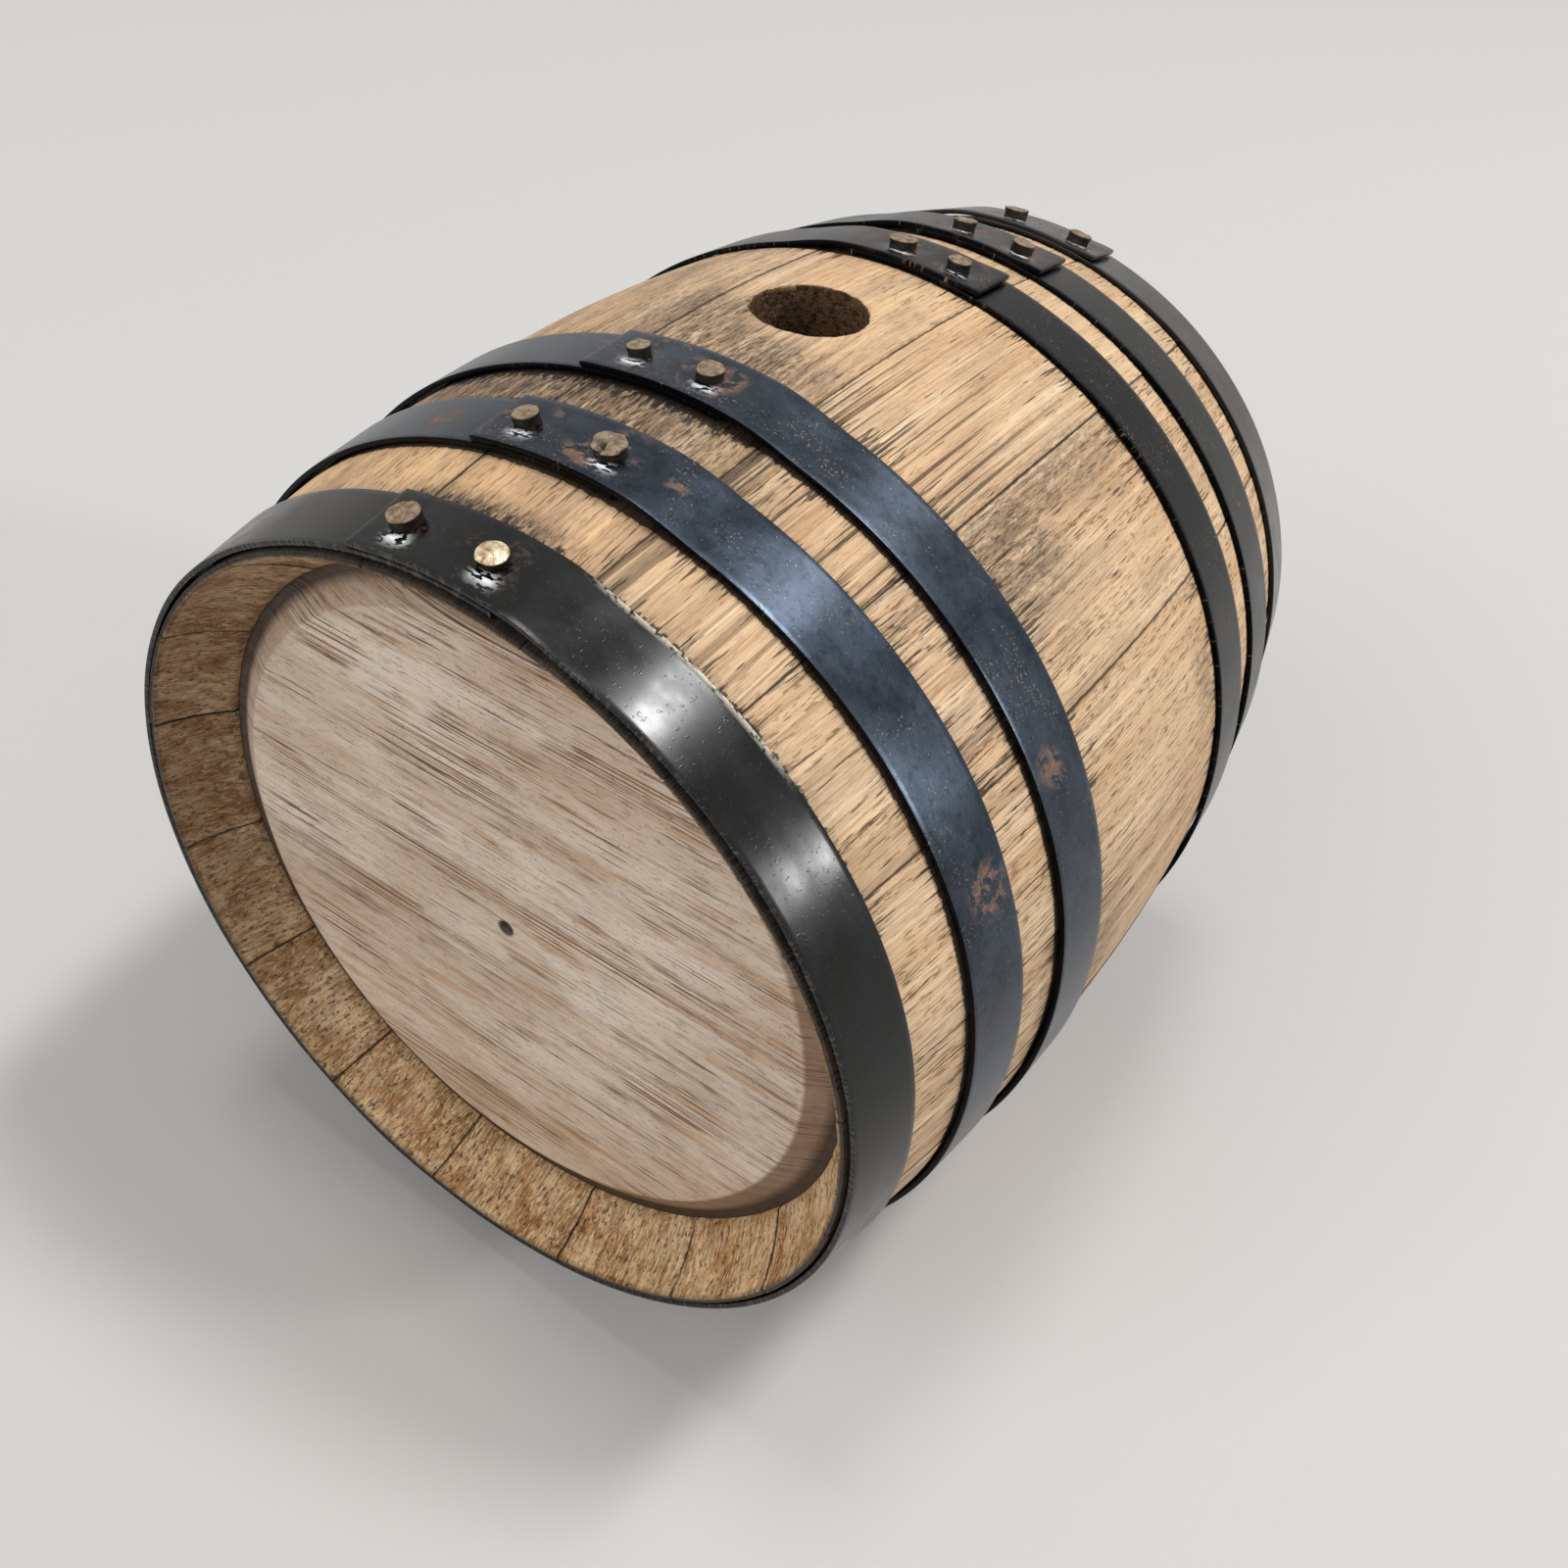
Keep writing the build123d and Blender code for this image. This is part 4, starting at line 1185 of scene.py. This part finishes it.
def rivet_frame(name, turn):
    """Where a rivet stands: its origin on the lapped strip, with Z pointing out of the barrel."""
    places = [polar(p) for p in node_points(f"{name}_rivets")]
    radii = [radius for radius, at in places if abs(math.remainder(at - turn, 2 * math.pi)) < ONE_RIVET_TURN]
    middle_y = sum(hoop_spans[name]) / 2
    slope = -math.tan(math.asin(middle_y / bulge_radius))
    outwards = (on_barrel(1, turn, 0) - on_barrel(0, 0, 0) - Vector((0, slope, 0))).normalized()
    turned = outwards.to_track_quat("Z", "Y").to_matrix().to_4x4()
    return Matrix.Translation(on_barrel(max(radii) - RIVET_HEIGHT, turn, middle_y)) @ turned


def split_head(vertex, side, flat, rough, radius, front):
    """Chip the front of a rivet's head and open a crack in it. Limits are shares of its radius."""
    ahead = flat.dot(front) / radius
    beside = flat.cross(front).z / radius
    chipped = smooth_step(0.2, 0.35, ahead + 0.25 * rough)
    crack = smooth_step(0.26, 0.1, abs(beside - 0.2)) * smooth_step(-0.1, 0.25, ahead)
    vertex.co.z -= (CHIP_DEPTH * chipped + CRACK_DEPTH * crack) * vertex.co.z / RIVET_HEIGHT
    vertex.co -= flat * CRACK_OPENING * crack
    vertex[side] = max(vertex[side], crack)


def head_rivet(seed, radius, crown, front=None):
    """One rivet as a mesh: a turned drum with a crowned top, roughened, and split if front is given."""
    top = RIVET_HEIGHT
    outline = [(0.94, -RIVET_SHANK), (0.94, 0.0), (0.95, 0.3 * top), (0.98, 0.6 * top), (1.0, 0.8 * top),
               (0.98, 0.94 * top), (0.91, top), (0.75, top + 0.35 * crown), (0.5, top + 0.7 * crown),
               (0.25, top + 0.95 * crown), (0.0, top + crown)]
    bm = bmesh.new()
    corners = [bm.verts.new((radius * share, 0, z)) for share, z in outline]
    edges = [bm.edges.new(pair) for pair in zip(corners, corners[1:])]
    bmesh.ops.spin(bm, geom=corners + edges, cent=(0, 0, 0), axis=(0, 0, 1), angle=2 * math.pi,
                   steps=RIVET_SIDES, use_merge=True)
    bmesh.ops.holes_fill(bm, edges=bm.edges[:], sides=0)
    side = bm.verts.layers.float.new("side")
    for vertex in bm.verts:
        # side marks the drum's sides, which get painted shade with their rust
        vertex[side] = smooth_step(0.98 * top, 0.85 * top, vertex.co.z)
        flat = Vector((vertex.co.x, vertex.co.y, 0))
        rough = noise.noise(vertex.co / MM * RIVET_LUMPS_PER_MM + Vector((seed * 7.3, 0, 0)))
        vertex.co += flat * SIDE_ROUGHNESS * rough
        vertex.co.z += TOP_ROUGHNESS * rough
        if front is not None and vertex.co.z > 0:
            split_head(vertex, side, flat, rough, radius, front)
    mesh = bpy.data.meshes.new("rivet")
    bm.to_mesh(mesh)
    bm.free()
    return mesh


for number, name in enumerate(HOOP_NAMES):
    rivet_bm = bmesh.new()
    for index, turn in enumerate(rivet_turns[name]):
        bright = name == "plain_end_head" and index == 1
        split = name == "plain_end_quarter" and index == 1
        radius = RIVET_RADIUS * RIVET_SIZES[name][index]
        standing = rivet_frame(name, turn)
        front = standing.to_3x3().inverted() @ Vector((0, -1, 0)) if split else None
        rivet = head_rivet(2 * number + index, radius, BRIGHT_CROWN if bright else BROWN_CROWN, front)
        rivet.transform(standing @ Matrix.Translation((0, 0, -BRIGHT_SUNK if bright else 0)))
        rivet_bm.from_mesh(rivet)
    piece = finish_piece(rivet_bm, f"{name}_rivet_pair", brown_rivet, "barrel",
                         f"{name}_rivets")
    if name == "plain_end_head":
        piece.data.materials.append(bright_rivet)
        for face in piece.data.polygons:
            face.material_index = int(polar(face.center)[1] > sum(rivet_turns[name]) / 2)
print("set", 2 * len(HOOP_NAMES), "rivets")

# %% [markdown]
# ## The tap
#
# The tap is turned beech with a cork lining round its key. Its solids already have the shapes that
# a lathe and a paddle cutter leave, so they stay and only get their finish.

# %% Turned beech and cork
def turned_beech():
    """Turned and oiled beech: smooth, light reddish tan, with short dark ray flecks."""
    finish, tree, shader = new_finish("turned_oiled_beech")
    place = place_in_mm(tree)
    band = mottle(tree, place, (5, 60, 5), 0.35, 0.65, detail=3, seed=1)
    flecks = mottle(tree, place, (0.5, 3.2, 0.5), 0.6, 0.7, detail=2, seed=2)
    lines = mottle(tree, place, (1.4, 60, 1.4), 0.5, 0.7, detail=3, seed=3)
    stains = [("#c9a379", band, 1.0), ("#86592f", lines, 0.5), ("#5f3c20", flecks, 0.65)]
    roughness = add(tree, "ShaderNodeMapRange", {"Value": band, "To Min": 0.42, "To Max": 0.58})
    bump = add(tree, "ShaderNodeBump", {"Height": flecks, "Strength": 0.3, "Distance": -0.12 * MM})
    fill(tree, shader, {"Base Color": lay_stains(tree, linear("#ab8259"), stains),
                        "Roughness": roughness.outputs[0], "Normal": bump.outputs[0]})
    return finish


def bored_cork():
    """Bored cork: matt, tan, full of dark pores."""
    finish, tree, shader = new_finish("bored_cork")
    place = place_in_mm(tree)
    crumbs = mottle(tree, place, (1.2, 1.2, 1.2), 0.35, 0.65, detail=4, seed=1)
    pores = mottle(tree, place, (0.6, 0.6, 1.6), 0.6, 0.68, detail=2, seed=2)
    stains = [("#c59f6f", crumbs, 1.0), ("#4d3420", pores, 0.85)]
    bump = add(tree, "ShaderNodeBump", {"Height": pores, "Strength": 0.5, "Distance": -0.2 * MM})
    fill(tree, shader, {"Base Color": lay_stains(tree, linear("#9c7448"), stains), "Roughness": 0.85,
                        "Normal": bump.outputs[0]})
    return finish


beech = turned_beech()
tap_finishes = {"tap_body": beech, "tap_key": beech, "tap_cork_lining": bored_cork()}
for name, finish in tap_finishes.items():
    nodes[name].data.materials.clear()
    nodes[name].data.materials.append(finish)
print("tap finished:", ", ".join(tap_finishes))
